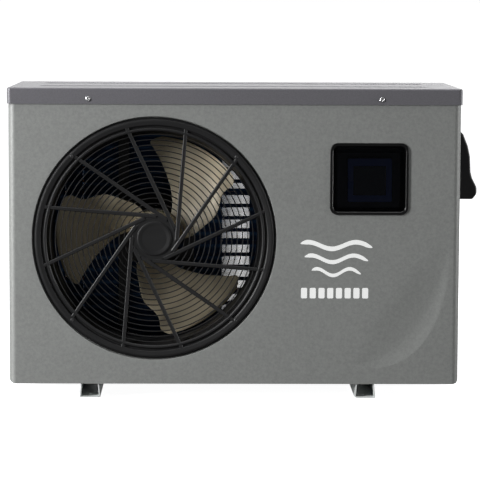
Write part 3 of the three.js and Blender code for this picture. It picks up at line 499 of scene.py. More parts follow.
def blade_plastic(name, colour):
    """Fan plastic that lets some light through, with patches of dust."""
    m = Material(name)
    dust = m.ramp(m.noise(32, 4.0), 0.45, 0.75, 0.0, 0.4)
    base = m.mix(dust, colour, shade(colour, 0.72))
    m.set(Base_Color=base, Roughness=0.42, Subsurface_Weight=0.15, Subsurface_Radius=(0.01, 0.008, 0.006),
          Normal=m.bump(m.noise(900), 0.1, 0.1))
    return m.material


def coated_fins(name):
    """Blue water-shedding coat on thin aluminium, paler along the tubes."""
    m = Material(name)
    wash = m.noise(60, 3.0, stretch=(1, 1, 0.2))
    base = m.mix(m.ramp(wash, 0.3, 0.7), linear(26, 48, 84), linear(44, 74, 116))
    ripple = m.fill(m.new("TexWave", bands_direction="Z"), Vector=m.coordinates,
                    Scale=math.pi / (10 * TUBE_PITCH * MM))
    base = m.mix(m.ramp(ripple.outputs["Fac"], 0.7, 1.0, 0.0, 0.6), base, linear(92, 132, 178))
    m.set(Base_Color=base, Metallic=0.75, Roughness=0.42, Normal=m.bump(m.noise(900), 0.1, 0.05))
    return m.material


def clear_smoke(name):
    """Smoked clear sheet, faintly scratched."""
    m = Material(name)
    scuff = m.ramp(m.noise(300, 4.0, stretch=(1, 1, 8)), 0.55, 0.8, 0.0, 0.12)
    m.set(Base_Color=(0.006, 0.0065, 0.008), Roughness=m.ramp(scuff, 0.0, 0.12, 0.03, 0.12), IOR=1.5)
    see_through = m.fill(m.new("BsdfTransparent"), Color=(0.8, 0.82, 0.86))
    blend = m.new("MixShader")
    sheen = m.ramp(m.new("Fresnel").outputs["Fac"], 0.0, 1.0, 0.06, 1.0)
    for output, socket in zip((sheen, see_through.outputs["BSDF"], m.shader.outputs["BSDF"]), blend.inputs):
        m.link(output, socket)
    m.link(blend.outputs["Shader"], m.tree.nodes["Material Output"].inputs["Surface"])
    return m.material


def liquid_crystal(name):
    """A dark display: faint cell grid under a clear face."""
    m = Material(name)
    upright = m.mapped(Rotation=(math.radians(90), 0, 0))
    grid = m.fill(m.new("TexBrick", offset=0.0), Vector=upright, Scale=250, Mortar_Size=0.06,
                  Color1=(0.002, 0.002, 0.004), Color2=(0.0025, 0.0025, 0.005), Mortar=(0.005, 0.006, 0.012))
    m.set(Base_Color=grid.outputs["Color"], Roughness=0.25, Coat_Weight=1.0, Coat_Roughness=0.03)
    return m.material


def printed(name, colour):
    """Screen-printed ink, slightly mottled, with a little light of its own to stay white in the shade."""
    m = Material(name)
    blot = m.ramp(m.noise(700), 0.35, 0.7)
    m.set(Base_Color=m.mix(blot, shade(colour, 0.93), colour), Roughness=0.5,
          Normal=m.bump(m.noise(625), 0.2, 0.3), Emission_Color=(1, 1, 1), Emission_Strength=0.32)
    return m.material


CASE_GREY = linear(151, 153, 151)
COVER_GREY = linear(118, 117, 122)
BLACK = linear(28, 28, 29)
MATERIALS = {
    "case_paint": powder_coat("case_paint", CASE_GREY, 0.48, metallic=0.15),
    "cover_paint": powder_coat("cover_paint", COVER_GREY, 0.42, grain_mm=1.2, strength=0.25, metallic=0.15),
    "foot_paint": powder_coat("foot_paint", linear(216, 221, 219), 0.45, strength=0.3),
    "galvanised_steel": galvanised("galvanised_steel"),
    "black_plastic": moulded("black_plastic", BLACK, 0.46),
    "gloss_black": moulded("gloss_black", linear(3, 3, 4), 0.34, strength=0.03, coat=0.25),
    "screen": liquid_crystal("screen"),
    "smoked_cover": clear_smoke("smoked_cover"),
    "blade_plastic": blade_plastic("blade_plastic", linear(196, 184, 158)),
    "zinc_plate": metal("zinc_plate", (0.86, 0.86, 0.87), 0.28, grain=900),
    "black_steel": powder_coat("black_steel", linear(44, 44, 45), 0.4, strength=0.2),
    "blue_fins": coated_fins("blue_fins"),
    "fin_aluminium": metal("fin_aluminium", (0.72, 0.73, 0.74), 0.4, stretch=(1, 1, 12)),
    "copper": metal("copper", (0.78, 0.42, 0.26), 0.34, tarnish=(0.3, 0.14, 0.08)),
    "valve_brass": metal("valve_brass", (0.75, 0.58, 0.26), 0.32, tarnish=(0.35, 0.24, 0.1)),
    "rubber": moulded("rubber", linear(26, 26, 26), 0.8, strength=0.35),
    "grey_plastic": moulded("grey_plastic", linear(82, 84, 86), 0.42, grain_mm=0.8),
    "titanium": metal("titanium", (0.52, 0.5, 0.48), 0.36, stretch=(1, 1, 6)),
}
PRINT = printed("printed_white", linear(236, 238, 236))

# ---- case


def top_cover():
    """A folded lid with rounded edges and two shallow pressed channels."""
    half, depth = LID_HIGH.x, LID_HIGH.y - LID_LOW.y
    cy = (LID_HIGH.y + LID_LOW.y) / 2
    fold, corner = 3.2, 8.0
    level = [(0, LID_LOW.z), (0, LID_HIGH.z - fold)]
    for a in (22.5, 45, 67.5, 90):
        u, v = polar(fold, a)
        level.append((fold - u, LID_HIGH.z - fold + v))
    rows = []
    for inset, z in level:
        ring = rounded_rect(0, cy, 2 * (half - inset), depth - 2 * inset, max(corner - inset, 1), 6)
        rows.append([(x, y, z) for x, y in ring])
    shape = Shape().lattice(rows, wrap_columns=True)
    edge = [(x, y) for x, y, _ in rows[-1]]
    channel_half, channel_w, channel_deep = 382.0, 31.0, 4.0
    steps = ((3.0, 0), (1.8, -0.35), (0.6, -1.6), (-0.4, -channel_deep + 0.9), (-1.6, -channel_deep))
    holes = []
    for y in (100.0, 257.0):
        rings = []
        for grow, drop in steps:
            w, h = 2 * (channel_half + grow), channel_w + 2 * grow
            ring = rounded_rect(0, y, w, h, h / 2 - 0.01, 12)
            rings.append([(px, py, LID_HIGH.z + drop) for px, py in ring])
        shape.lattice(rings, wrap_columns=True)
        bottom = [(x, yy) for x, yy, _ in rings[-1]]
        points, faces, _ = flat_sheet(bottom, [])
        shape.add([(p.x, p.y, LID_HIGH.z - channel_deep) for p in points], faces)
        holes.append([(x, yy) for x, yy, _ in rings[0]])
    points, faces, _ = flat_sheet(edge, holes)
    shape.add([(p.x, p.y, LID_HIGH.z) for p in points], faces)
    make("top_cover", shape, sheet=SHEET, facing=(0, 0, 1), sharp=35)


LEAF_TOP, LEAF_LOW = Vector((418, 312)), Vector((238, 62))
LEAF_INNER = (LEAF_TOP, Vector((330, 270)), Vector((262, 190)), LEAF_LOW)
LEAF_OUTER = (LEAF_TOP, Vector((424, 135)), Vector((345, 40)), LEAF_LOW)
LEAF_DEEP = 4.0
LEAF_DEEPEST = 0.72  # how far across the leaf its deepest line runs
FOOT_LIFT = 7.0  # how far the panel's bottom corners are rounded off
FLAT_COLUMNS, FLAT_ROWS = 44, 28  # a grid of flat points, which keeps the shading round the leaf even


def bezier(controls, t):
    p = list(controls)
    while len(p) > 1:
        p = [a.lerp(b, t) for a, b in zip(p, p[1:])]
    return p[0]


def leaf_place(u, v):
    inner, outer = bezier(LEAF_INNER, u), bezier(LEAF_OUTER, u)
    return inner + (outer - inner) * v


def leaf_depth(u, v):
    """How far the leaf is pressed in: soft along its upper left edge, crisp along its lower right one."""
    if not 0 < v < 1:
        return 0.0
    if v < LEAF_DEEPEST:
        across = math.sin(v / LEAF_DEEPEST * math.pi / 2) ** 2
    else:
        across = 1 - ((v - LEAF_DEEPEST) / (1 - LEAF_DEEPEST)) ** 1.6
    return LEAF_DEEP * across * math.sin(math.pi * u) ** 1.5


def front_panel():
    """One bent sheet with a round recess for the grille, a window and the pressed leaf."""
    low, high, corner = PANEL_LOW.z, PANEL_HIGH.z, 14.0
    segments, soft = 192, 1.0
    grille = span("fan_grille")[1].x - FAN.x
    recess_r, recess_deep, mouth_r = grille + 1.5, 6.0, grille - 17.5
    recess = [(recess_r + soft, 0), (recess_r + soft * 0.3, soft * 0.3), (recess_r, soft),
              (recess_r, recess_deep - soft), (recess_r - soft * 0.3, recess_deep - soft * 0.3),
              (recess_r - soft, recess_deep), (mouth_r, recess_deep)]
    shape = turned(recess, FAN, segments=segments, closed=False)

    hole = [(FAN.x + dx, FAN.z + dz) for dx, dz in circle(recess_r + soft, segments)]
    bezel, bezel_low, bezel_high = placed("control_bezel")
    w, h = bezel_high.x - bezel_low.x - 6.6, bezel_high.z - bezel_low.z - 6.6
    window = rounded_rect(bezel.x, bezel.z, w, h, 12, 6)
    edge = CASE_HALF - corner
    outline = [(-edge, low), (edge, low), (edge, high), (-edge, high)]
    leaf, depths, leaf_steps, rim_steps = [], [], 64, 40
    across = [-0.05, -0.015] + [k / 30 for k in range(31)] + [1.012, 1.04]
    for i in range(1, leaf_steps):
        for v in across:
            leaf.append(tuple(leaf_place(i / leaf_steps, v)))
            depths.append(leaf_depth(i / leaf_steps, v))
    rim = [tuple(leaf_place(i / rim_steps, -0.06)) for i in range(rim_steps + 1)]
    rim += [tuple(leaf_place(i / rim_steps, 1.06)) for i in range(rim_steps, -1, -1)]
    for i in range(1, FLAT_COLUMNS):
        for k in range(1, FLAT_ROWS):
            spot = (-edge + 2 * edge * i / FLAT_COLUMNS, low + (high - low) * k / FLAT_ROWS)
            clear = (Vector(spot) - Vector((FAN.x, FAN.z))).length > recess_r + 6
            if clear and not inside(spot, window) and not inside(spot, rim):
                leaf.append(spot)
                depths.append(0.0)
    points, faces, sources = flat_sheet(outline, [hole, window], leaf)
    start = len(outline) + len(hole) + len(window)
    deep = [depths[s - start] if s is not None and s >= start else 0.0 for s in sources]
    shape.add([(p.x, d, p.y) for p, d in zip(points, deep)], faces)

    for sign in (-1, 1):
        rows = []
        for a in range(90, -1, -10):
            dx, dy = polar(corner, a)
            lift = FOOT_LIFT * (dx / corner) ** 3
            rows.append([(sign * (edge + dx), corner - dy, z) for z in (low + lift, high)])
        rows.append([(sign * CASE_HALF, PANEL_HIGH.y, z) for z in (low, high)])
        shape.lattice(rows)
    make("front_panel", shape, sheet=SHEET, facing=(0, -1, 0), sharp=30)


def printed_marks():
    """A plain pictogram of three ripples over a row of blank blocks, in the place of the printed marks."""
    shape = Shape()
    left, right, top = 128.0, 268.0, 306.0
    back, proud = -0.02, -0.22
    steps, lift = 60, 6.5
    for row, inset in enumerate((0, 8, 22)):
        x0, x1 = left + inset, right - inset
        z, thick = top - 26 * row, 9.0 - row
        band = []
        for k in range(steps + 1):
            t = k / steps
            x, mid = x0 + t * (x1 - x0), z - lift + lift * math.sin(2 * math.pi * 1.5 * t + 0.6)
            half = thick / 2 * min(1.0, 4.2 * min(t, 1 - t) ** 0.6 + 0.08)
            band.append([(x, back, mid + half), (x, proud, mid + half),
                         (x, proud, mid - half), (x, back, mid - half)])
        shape.lattice(band, wrap_columns=True, caps=True)
    blocks, pitch, width, low, high = 8, 17.0, 12.0, 196.0, 216.5
    for k in range(blocks):
        x = 129.5 + k * pitch + width / 2
        prism(rounded_rect(x, (low + high) / 2, width, high - low, 2.5, 4), back, proud, shape=shape)
    make("front_panel", shape, "front_marking", material=PRINT, replaces=[])


def pan_screw(node, r, shank, rings, segments, dome, deep, arm, reach, cap=False):
    """A screw with a domed head. arm and reach are half the width and length of its cross recess."""
    centre, low, _ = placed(node)
    rows = []
    for i in range(rings + 1):
        row = []
        for dx, dz in circle(r * i / rings, segments):
            across, along = min(abs(dx), abs(dz)), max(abs(dx), abs(dz))
            cross = max(0.0, 1 - (across / arm) ** 4) * max(0.0, 1 - (along / reach) ** 6)
            row.append((centre.x + dx, low.y + dome * (i / rings) ** 3 + deep * cross, centre.z + dz))
        rows.append(row)
    for shank_r, y in shank:
        rows.append([on_axis("Y", centre, u, v, y) for u, v in circle(shank_r, segments)])
    shape = Shape().lattice(rows, wrap_columns=True)
    if cap:
        shape.add(rows[-1], [tuple(range(segments))])
    make(node, shape, sharp=50)


def lid_screw(node):
    low, high = span(node)
    r, under = (high.x - low.x) / 2, low.y + 2.4
    shank = ((r, under), (2.1, under), (2.1, high.y - 1.0), (0.4, high.y))
    pan_screw(node, r, shank, rings=14, segments=48, dome=1.5, deep=1.3, arm=0.75, reach=0.56 * r, cap=True)


def side_hood():
    """A moulded hood, open underneath, over the cable entry."""
    low, high = span("side_hood")
    wall, out, tall = low.x, high.x - low.x, high.z - low.z
    curve = [(0, 1), (0.279, 0.937), (0.527, 0.756), (0.637, 0.607), (0.676, 0.381), (0.757, 0.293),
             (0.992, 0.159), (1.0, 0.063), (0.836, 0.0)]
    profile = [(wall + u * out, low.z + v * tall) for u, v in curve]
    smooth = rounded(profile, 14, 4, closed=False)
    y0, y1, soft = low.y, high.y, 4.0
    columns = [(y0, soft)]
    columns += [(y0 + soft - u, soft - v) for u, v in (polar(soft, a) for a in (30, 60, 90))]
    columns += [(y1 - (y - y0), inset) for y, inset in reversed(columns)]
    rows = []
    for y, inset in columns:
        row = []
        for x, z in smooth:
            share = min(1, 3 * ((x - wall) / out))
            row.append((max(wall, x - inset * share), y, z - inset * 0.5 * share))
        rows.append(row)
    shape = Shape().lattice(rows)
    for row in (rows[0], rows[-1]):
        foot = (wall, row[0][1], row[-1][2])
        shape.add([*row, foot], [tuple(range(len(row) + 1))])
    make("side_hood", shape, sheet=2.5, facing=(1, 0, 0.2), sharp=50)


def cable_gland(node):
    """A gland: hexagon and domed nut below the tab, lock nut above it."""
    centre, low, high = placed(node)
    tab = high.z - 9
    nut = [(5, low.z), (7.6, low.z), (9.6, low.z + 3), (10.4, low.z + 6), (10.4, tab - 7), (8, tab - 7),
           (8, tab - 0.3), (5, tab - 0.3)]

    def ribs(angle, r, z):
        return 0.35 * math.cos(math.radians(angle * 18)) if r > 9 else 0

    shape = turned(rounded(nut, 0.5), centre, "Z", 96, swell=ribs)
    for z0, z1, r in ((tab - 6, tab - 0.3, 12), (tab + 1.5, tab + 5, 11)):
        corners = ((1, z0), (1, z1), (0.7, z1), (0.7, z0))
        rows = [[(centre.x + dx * s, centre.y + dy * s, z) for s, z in corners] for dx, dy in circle(r, 6)]
        shape.lattice(rows, wrap_rows=True, wrap_columns=True)
    sleeve = [(5, tab + 1.5), (7.6, tab + 1.5), (7.6, high.z), (5, high.z)]
    turned(rounded(sleeve, 0.4), centre, "Z", 48, shape=shape)
    make(node, shape, sharp=35)


def drain_nozzle():
    centre, low, high = placed("drain_nozzle")
    steps = ((6, 0), (7.6, 0), (9, 4), (8, 4), (8, 7), (9, 11), (8, 11), (8, 17), (14, 17), (14, 20.2),
             (8.5, 20.2))
    profile = [*((r, low.z + up) for r, up in steps), (8.5, high.z), (6, high.z)]
    make("drain_nozzle", turned(rounded(profile, 0.5, 3), centre, "Z", 64))


def case():
    top_cover()
    front_panel()
    printed_marks()
    side_hood()
    drain_nozzle()
    for node in ("lid_screw_left", "lid_screw_right"):
        lid_screw(node)
    for node in ("power_gland", "signal_gland"):
        cable_gland(node)
    for node, bevel in CASE_BEVELS.items():
        polished(node, bevel)


CASE_BEVELS = {
    "right_side_panel": 0.5, "rear_panel": 0.5, "rear_coil_guard": 1.4, "side_coil_guard": 1.4,
    "base_pan": 0.5, "foot_left": 0.8, "foot_right": 0.8, "partition_plate": 0.4,
}

# ---- fan

SPOKES, SPOKE_PHASE, SPOKE_TANGENT_R, SPOKE_END_R = 12, 25.4, 43.5, 222.0
RINGS, RING_FIRST_R, RING_PITCH = 15, 58.0, 10.3
RING_Y, RING_HALF_WIDE, RING_HALF_DEEP = 3.6, 1.05, 1.7
GRILLE_SCREWS = [f"grille_screw_{k + 1}" for k in range(4)]


def fan_grille():
    """A rounded outer lip, a screw flange, a collar, fifteen thin rings, twelve slanted spokes and a hub."""
    r = GRILLE_R
    lip = [(r, 4.4), (r - 0.2, 3.0), (r - 2.4, 4.0), (r - 3.8, 1.2, 0.6), (r - 5.2, -0.9, 0.9),
           (r - 8.0, -1.3, 2.4), (221.0, -0.1, 1.2), (219.2, 1.6, 0.4), (218.2, 4.2, 0.3), (216.4, 4.2, 0.3),
           (215.2, 1.4, 0.8), (213.6, -0.6, 1.0), (210.6, -0.6, 1.4), (208.8, 1.4, 1.0), (208.8, 6.0),
           (211.2, 6.0), (213.4, 5.4), (217.2, 5.4)]
    shape = turned(rounded(lip, 0.3, 3), FAN, segments=192)
    hub = [(0, 0.4), (24, 0.0, 6), (30.4, -1.3, 1.2), (32.6, -0.9, 0.8), (33.4, 1.4, 0.6), (37, 1.4, 0.5),
           (42, 1.0, 0.8), (44.8, 2.0, 0.8), (45.5, 8, 0.5), (40, 8), (0, 8)]
    turned(rounded(hub, 0.5, 4, closed=False), FAN, segments=96, closed=False, shape=shape)
    length = math.sqrt(SPOKE_END_R ** 2 - SPOKE_TANGENT_R ** 2)
    for k in range(SPOKES):
        phi = SPOKE_PHASE + 360 / SPOKES * k
        foot, along = Vector(polar(SPOKE_TANGENT_R, phi)), Vector(polar(1, phi + 90))
        side = Vector(polar(1, phi))
        rows = []
        for t in range(9):
            s = t / 8
            place = foot + along * (s * length)
            x, z = FAN.x + place.x, FAN.z + place.y
            half = 4.2 - 0.6 * s
            section = rounded([(-half, 6.0), (-half * 0.95, 0.9), (-half * 0.65, 0.0), (half * 0.65, 0.0),
                               (half * 0.95, 0.9), (half, 6.0)], 0.5, 2)
            rows.append([(x + side.x * q, y, z + side.y * q) for q, y in section])
        shape.lattice(rows, wrap_columns=True, caps=True)
    for k in range(RINGS):
        r = RING_FIRST_R + k * RING_PITCH
        section = [(r + RING_HALF_WIDE * u, RING_Y + RING_HALF_DEEP * v) for u, v in circle(1, 10)]
        turned(section, FAN, segments=160, shape=shape)
    seat = [(3.9, 0.7), (5.4, 0.7), (6.2, 1.0), (6.2, 3), (3.9, 3)]
    for node in GRILLE_SCREWS:
        turned(seat, middle(node), segments=32, shape=shape)
    make("fan_grille", shape, sharp=45)


def grille_screw(node):
    low, high = span(node)
    r, under = 3.5, low.y + 2.2
    shank = ((r, under), (2.1, under), (2.1, high.y), (0.3, high.y))
    pan_screw(node, r, shank, rings=8, segments=32, dome=0.9, deep=0.9, arm=0.6, reach=2.1)


def fan_duct():
    """The bell mouth and throat round the blades, with stepped rings at its mouth."""
    profile = [(219, 6.9), (213.5, 9, 2), (208.5, 14, 4), (204, 22, 6), (201.6, 34, 10), (201, 88, 6),
               (205, 96, 1), (207, 96), (203, 87, 6), (203.8, 34, 8), (206.5, 24, 5), (211, 16, 4),
               (220, 9.4, 1), (244, 9.4), (244, 6.9)]
    make("fan_duct", turned(rounded(profile, 0.3, 4), FAN, segments=160))


BLADES, BLADE_ROOT_R, BLADE_TIP_R = 3, 48.0, 194.0
# (radius, angle) along the two edges of the first blade, as they show through the grille
TRAILING = ((48, -6), (66, -2), (94, 10.5), (128, 20), (150, 30.5), (162, 33), (194, 33.5))
LEADING = ((48, 52), (66, 59.5), (100, 73), (136, 83.5), (165, 90), (194, 96))
BLADE_MID_Y = 65.0
BLADE_RISE, BLADE_TIP_RISE, BLADE_CAMBER = 38, 12, 6  # front to back at the root, more at the tip, bulge


def along_curve(table, x):
    """A smooth value between the entries of a table."""
    for i in range(len(table) - 1):
        (x0, y0), (x1, y1) = table[i], table[i + 1]
        if x <= x1 or i == len(table) - 2:
            before = table[i - 1] if i else (2 * x0 - x1, 2 * y0 - y1)
            after = table[i + 2] if i + 2 < len(table) else (2 * x1 - x0, 2 * y1 - y0)
            t = (x - x0) / (x1 - x0)
            m0 = (y1 - before[1]) / (x1 - before[0]) * (x1 - x0)
            m1 = (after[1] - y0) / (after[0] - x0) * (x1 - x0)
            return (y0 * (2 * t ** 3 - 3 * t ** 2 + 1) + m0 * (t ** 3 - 2 * t ** 2 + t)
                    + y1 * (3 * t ** 2 - 2 * t ** 3) + m1 * (t ** 3 - t ** 2))


def blade(shape, turn):
    """One swept blade: thick in the middle, thin along its rounded edges, thicker at its root."""
    nu, nv = 30, 26

    def place(u, v, side):
        r = BLADE_ROOT_R + v * (BLADE_TIP_R - BLADE_ROOT_R)
        start, end = along_curve(TRAILING, r), along_curve(LEADING, r)
        soft = 10 * max(0.0, (v - 0.9) / 0.1) ** 2
        start, end = start + soft * 0.5, end - soft
        angle = start + u * (end - start) + turn
        rise = (u - 0.5) * (BLADE_RISE + BLADE_TIP_RISE * v) + BLADE_CAMBER * math.sin(math.pi * u)
        body = max(0.0, 1 - abs(2 * u - 1) ** 3) ** 0.5
        body *= max(0.0, 1 - max(0.0, (v - 0.94) / 0.06) ** 2) ** 0.5
        half = (1.5 + 1.6 * (1 - v) ** 4) * body
        dx, dz = polar(r, angle)
        return (FAN.x + dx, BLADE_MID_Y + rise + side * half, FAN.z + dz)

    us = [0.5 - 0.5 * math.cos(math.pi * i / nu) for i in range(nu + 1)]
    vs = [math.sin(math.pi / 2 * j / nv) for j in range(nv + 1)]
    for side in (-1, 1):
        shape.lattice([[place(u, v, side) for v in vs] for u in us])
    shape.lattice([[place(u, 0, side) for side in (-1, 1)] for u in us])


def fan_impeller():
    """A cup-shaped hub with twelve ribs inside it and a knurl round its front, and the blades."""
    hub = [(6.4, 41, 0), (40, 41, 1), (46, 41.4, 2), (50, 46, 3), (50, 92, 1), (47, 92, 0.4), (47, 47, 1),
           (13, 47, 1), (13, 88, 0.5), (6.4, 88, 0)]
    shape = turned(rounded(hub, 0.5), FAN, segments=96)
    for k in range(BLADES):
        blade(shape, 360 / BLADES * k)
    for k in range(12):
        dx, dz = polar(1, 30 * k + 15)
        rib = [(FAN.x + dx * r - dz * s, FAN.z + dz * r + dx * s) for r, s in (
            (14, -1.1), (46.6, -1.1), (46.6, 1.1), (14, 1.1))]
        prism(rib, 46.5, 84, shape=shape)
    for dx, dz in circle(50.4, 24):
        prism([(FAN.x + dx + u, FAN.z + dz + v) for u, v in circle(1.3, 6)], 44, 52, shape=shape)
    make("fan_impeller", shape)


def fan_motor():
    """A ribbed motor shell with a nose and four through bolts."""
    centre, low, high = placed("fan_motor")
    front, back, r = low.y, high.y, (high.x - low.x) / 2
    steps = ((16, 0, 1), (16, 8, 2), (44, 12, 4), (r - 2, 22, 6), (r - 2, 44, 0.5), (r, 45, 0.5),
             (r, 53, 0.5), (r - 2, 54, 0.5))
    profile = [(6.5, front), *((out, front + behind, soft) for out, behind, soft in steps),
               (r - 2, back - 10, 4), (40, back, 5), (0, back)]
    closed = [*rounded(profile, 0.5, 4, closed=False), Vector((0, back - 8)), Vector((6.5, back - 8))]
    shape = turned(closed, centre, segments=96)
    y0, y1 = front + 12, front + 18
    bolt = rounded([(0, y0), (4, y0), (4, y1), (0, y1)], 0.6, 3, closed=False)
    for k in range(4):
        dx, dz = polar(r - 7, 45 + 90 * k)
        turned(bolt, (centre.x + dx, 0, centre.z + dz), segments=6, closed=False, shape=shape)
    make("fan_motor", shape, sharp=35)


def fan():
    fan_grille()
    for node in GRILLE_SCREWS:
        grille_screw(node)
    fan_duct()
    fan_impeller()
    fan_motor()
    polished("fan_nut", 0.5)
    polished("fan_shaft", 0.4)
    polished("motor_bracket", 0.6)


# ---- evaporator

FIN_PITCH, FIN_THICK, FIN_SKEW = 1.9, 1.4, 0.95
FIN_GAPS = ((-308.0, 1.9), (-235.0, 1.3))  # where fins are missing: place and half width
BEND_CLOSER = 1.5  # how many times closer the fins stand on the inside of the bend
TUBE_R = 3.97


def evaporator():
    """Thin upright fins on level tubes, bent round the rear left corner."""
    low, high = span("evaporator_fins")
    deep, bend_r = 44.0, 40.0
    bend_x, bend_y = low.x + deep + bend_r, high.y - deep - bend_r
    fins = Shape()

    def fin(x, y, heading):
        """A plate from (x, y) outwards along heading, in degrees from +Y towards -X."""
        ahead = Vector((-math.sin(math.radians(heading)), math.cos(math.radians(heading))))
        side = Vector((ahead.y, -ahead.x)) * (FIN_THICK / 2)
        start = Vector((x, y))
        end = start + ahead * deep
        outline = [tuple(start - side), tuple(start + side), tuple(end + side), tuple(end - side)]
        prism(outline, low.z, high.z, axis="Z", shape=fins)

    count = int((high.x - 1 - bend_x) / FIN_PITCH)
    for k in range(count):
        x = high.x - 1 - k * FIN_PITCH
        if all(abs(x - place) > half for place, half in FIN_GAPS):
            fin(x, high.y - deep, -FIN_SKEW)
    turns = int(bend_r * math.pi / 2 / FIN_PITCH * BEND_CLOSER)
    for k in range(turns):
        heading = 90 * (k + 0.5) / turns
        dx, dy = polar(bend_r, 90 + heading)
        fin(bend_x + dx, bend_y + dy, heading)
    count = int((bend_y - low.y - 1) / FIN_PITCH)
    for k in range(count):
        fin(low.x + deep, low.y + 1 + k * FIN_PITCH, 90)
    make("evaporator_fins", fins, "evaporator_fin_pack")

    tubes = Shape()
    z = low.z + TUBE_PITCH / 2
    run_r = bend_r + deep / 2
    while z < high.z - TUBE_PITCH / 4:
        path = [(high.x, high.y - deep / 2, z)]
        path += [(bend_x + u, bend_y + v, z) for u, v in (polar(run_r, 90 + a) for a in range(0, 91, 9))]
        path.append((low.x + deep / 2, low.y, z))
        swept(path, TUBE_R, 10, tubes)
        z += TUBE_PITCH
    make("evaporator_fins", tubes, "evaporator_tubes", slot="copper", replaces=[])
    polished("coil_end_plate")


# ---- refrigerant circuit and water side

INNER = (
    "accumulator", "terminal_cover", "compressor_grommet_1", "compressor_grommet_2", "compressor_grommet_3",
    "four_way_valve", "expansion_valve", "discharge_pipe", "suction_pipe", "accumulator_outlet_pipe",
    "evaporator_gas_pipe", "condenser_gas_pipe", "distributor_pipe", "exchanger_tank", "exchanger_coil",
    "inlet_seal", "outlet_seal", "flow_switch",
)


def union_nut(node):
    """A nut with a ribbed grip and six lugs."""
    centre, low, high = placed(node)
    profile = [(28.7, high.y, 0.4), (28.7, high.y - 4, 0.3), (31.7, high.y - 4, 0.4), (31.7, low.y, 0.6),
               (38.6, low.y, 1.2), (38.6, high.y - 3, 1.5), (36.4, high.y, 1.5)]

    def grip(angle, r, y):
        lug = abs((angle + 30) % 60 - 30)
        rise = 4.2 * max(0.0, 1 - (lug / 5.5) ** 4)
        rib = 0.7 * (0.5 + 0.5 * math.cos(math.radians(angle * 36)))
        return max(rise, rib) if r > 37 and low.y + 1.5 < y < high.y - 2.2 else 0

    smooth = rounded(profile, 0.5, 3)
    dense = []
    for a, b in zip(smooth, [*smooth[1:], Vector(profile[0][:2])]):
        pieces = max(1, int((b - a).length / 4))
        dense += [a.lerp(b, k / pieces) for k in range(pieces)]
    make(node, turned(dense, centre, segments=360, swell=grip), sharp=50)


def tailpiece(node):
    centre, low, high = placed(node)
    end, seat = high.y, low.y
    profile = [(25, seat + 12, 0.4), (25.2, end, 0.8), (28, end, 0.8), (27.7, seat + 6.4, 1.5),
               (30.8, seat + 6.4, 0.5), (30.8, seat, 0.4), (22, seat, 0.4), (22, seat + 12, 0.4)]
    make(node, turned(rounded(profile, 0.4, 3), centre, segments=128))


def inner_parts():
    polished("compressor", 0.8)
    for node in INNER:
        polished(node)
    polished("flow_paddle", 0.25)
    for side in ("inlet", "outlet"):
        union_nut(f"{side}_union_nut")
        tailpiece(f"{side}_tailpiece")


# ---- controls


def lofted(levels, centre, steps=8):
    """Rounded rectangles (width, height, corner, y) joined one to the next, closed at both ends."""
    rows = []
    for width, height, corner, y in levels:
        rows.append([(x, y, z) for x, z in rounded_rect(centre.x, centre.z, width, height, corner, steps)])
    return Shape().lattice(rows, wrap_columns=True, caps=True)


def control_bezel():
    """A glossy tub with a rolled rim that slopes in to the display."""
    centre, low, high = placed("control_bezel")
    w, h = high.x - low.x, high.z - low.z
    levels = [
        (145, 132, 12, high.y), (145, 132, 12, -0.3), (w, h, 16, -0.3), (w, h, 16, -1.0),
        (w - 0.6, h - 0.6, 15.7, -1.8), (w - 2, h - 2, 15, low.y), (w - 9, h - 9, 12, low.y),
        (w - 11, h - 11, 11.2, low.y + 0.5), (w - 13, h - 13, 10.4, low.y + 1.8),
        (w - 14, h - 14, 10, low.y + 3.6), (w - 14, h - 14, 10, 5), (w - 15, h - 14.6, 9.8, 7),
        (w - 28, h - 23.5, 7, 26), (w - 30, h - 25, 6, 28),
    ]
    make("control_bezel", lofted(levels, centre, steps=10), sharp=50)


def display():
    """The module's frame with a sunk window, and the glass in it."""
    module, low, high = placed("display_module")
    screen, screen_low, screen_high = placed("display_screen")
    w, h = high.x - low.x, high.z - low.z
    sw, sh = screen_high.x - screen_low.x, screen_high.z - screen_low.z
    outer = rounded_rect(module.x, module.z, w, h, 3, 6)
    inset = rounded_rect(module.x, module.z, w - 1.4, h - 1.4, 2.4, 6)
    hole = rounded_rect(screen.x, screen.z, sw + 0.8, sh + 0.8, 1, 4)
    front, sunk = low.y, low.y + 1.6
    shape = Shape()

    def band(*levels):
        shape.lattice([[(x, y, z) for x, z in outline] for outline, y in levels], wrap_columns=True)

    def lid(outline, y):
        shape.add([(x, y, z) for x, z in outline], [tuple(range(len(outline)))])

    band((outer, high.y), (outer, front + 0.7), (inset, front))
    lid(outer, high.y)
    points, faces, _ = flat_sheet(inset, [hole])
    shape.add([(p.x, front, p.y) for p in points], faces)
    band((hole, front), (hole, sunk))
    lid(hole, sunk)
    make("display_module", shape, material=DISPLAY_FRAME)
    glass = [(sw - 0.1, sh - 0.1, 0.8, screen_high.y), (sw - 0.1, sh - 0.1, 0.8, screen_low.y + 0.2),
             (sw - 0.5, sh - 0.5, 0.6, screen_low.y)]
    make("display_screen", lofted(glass, screen, steps=4))


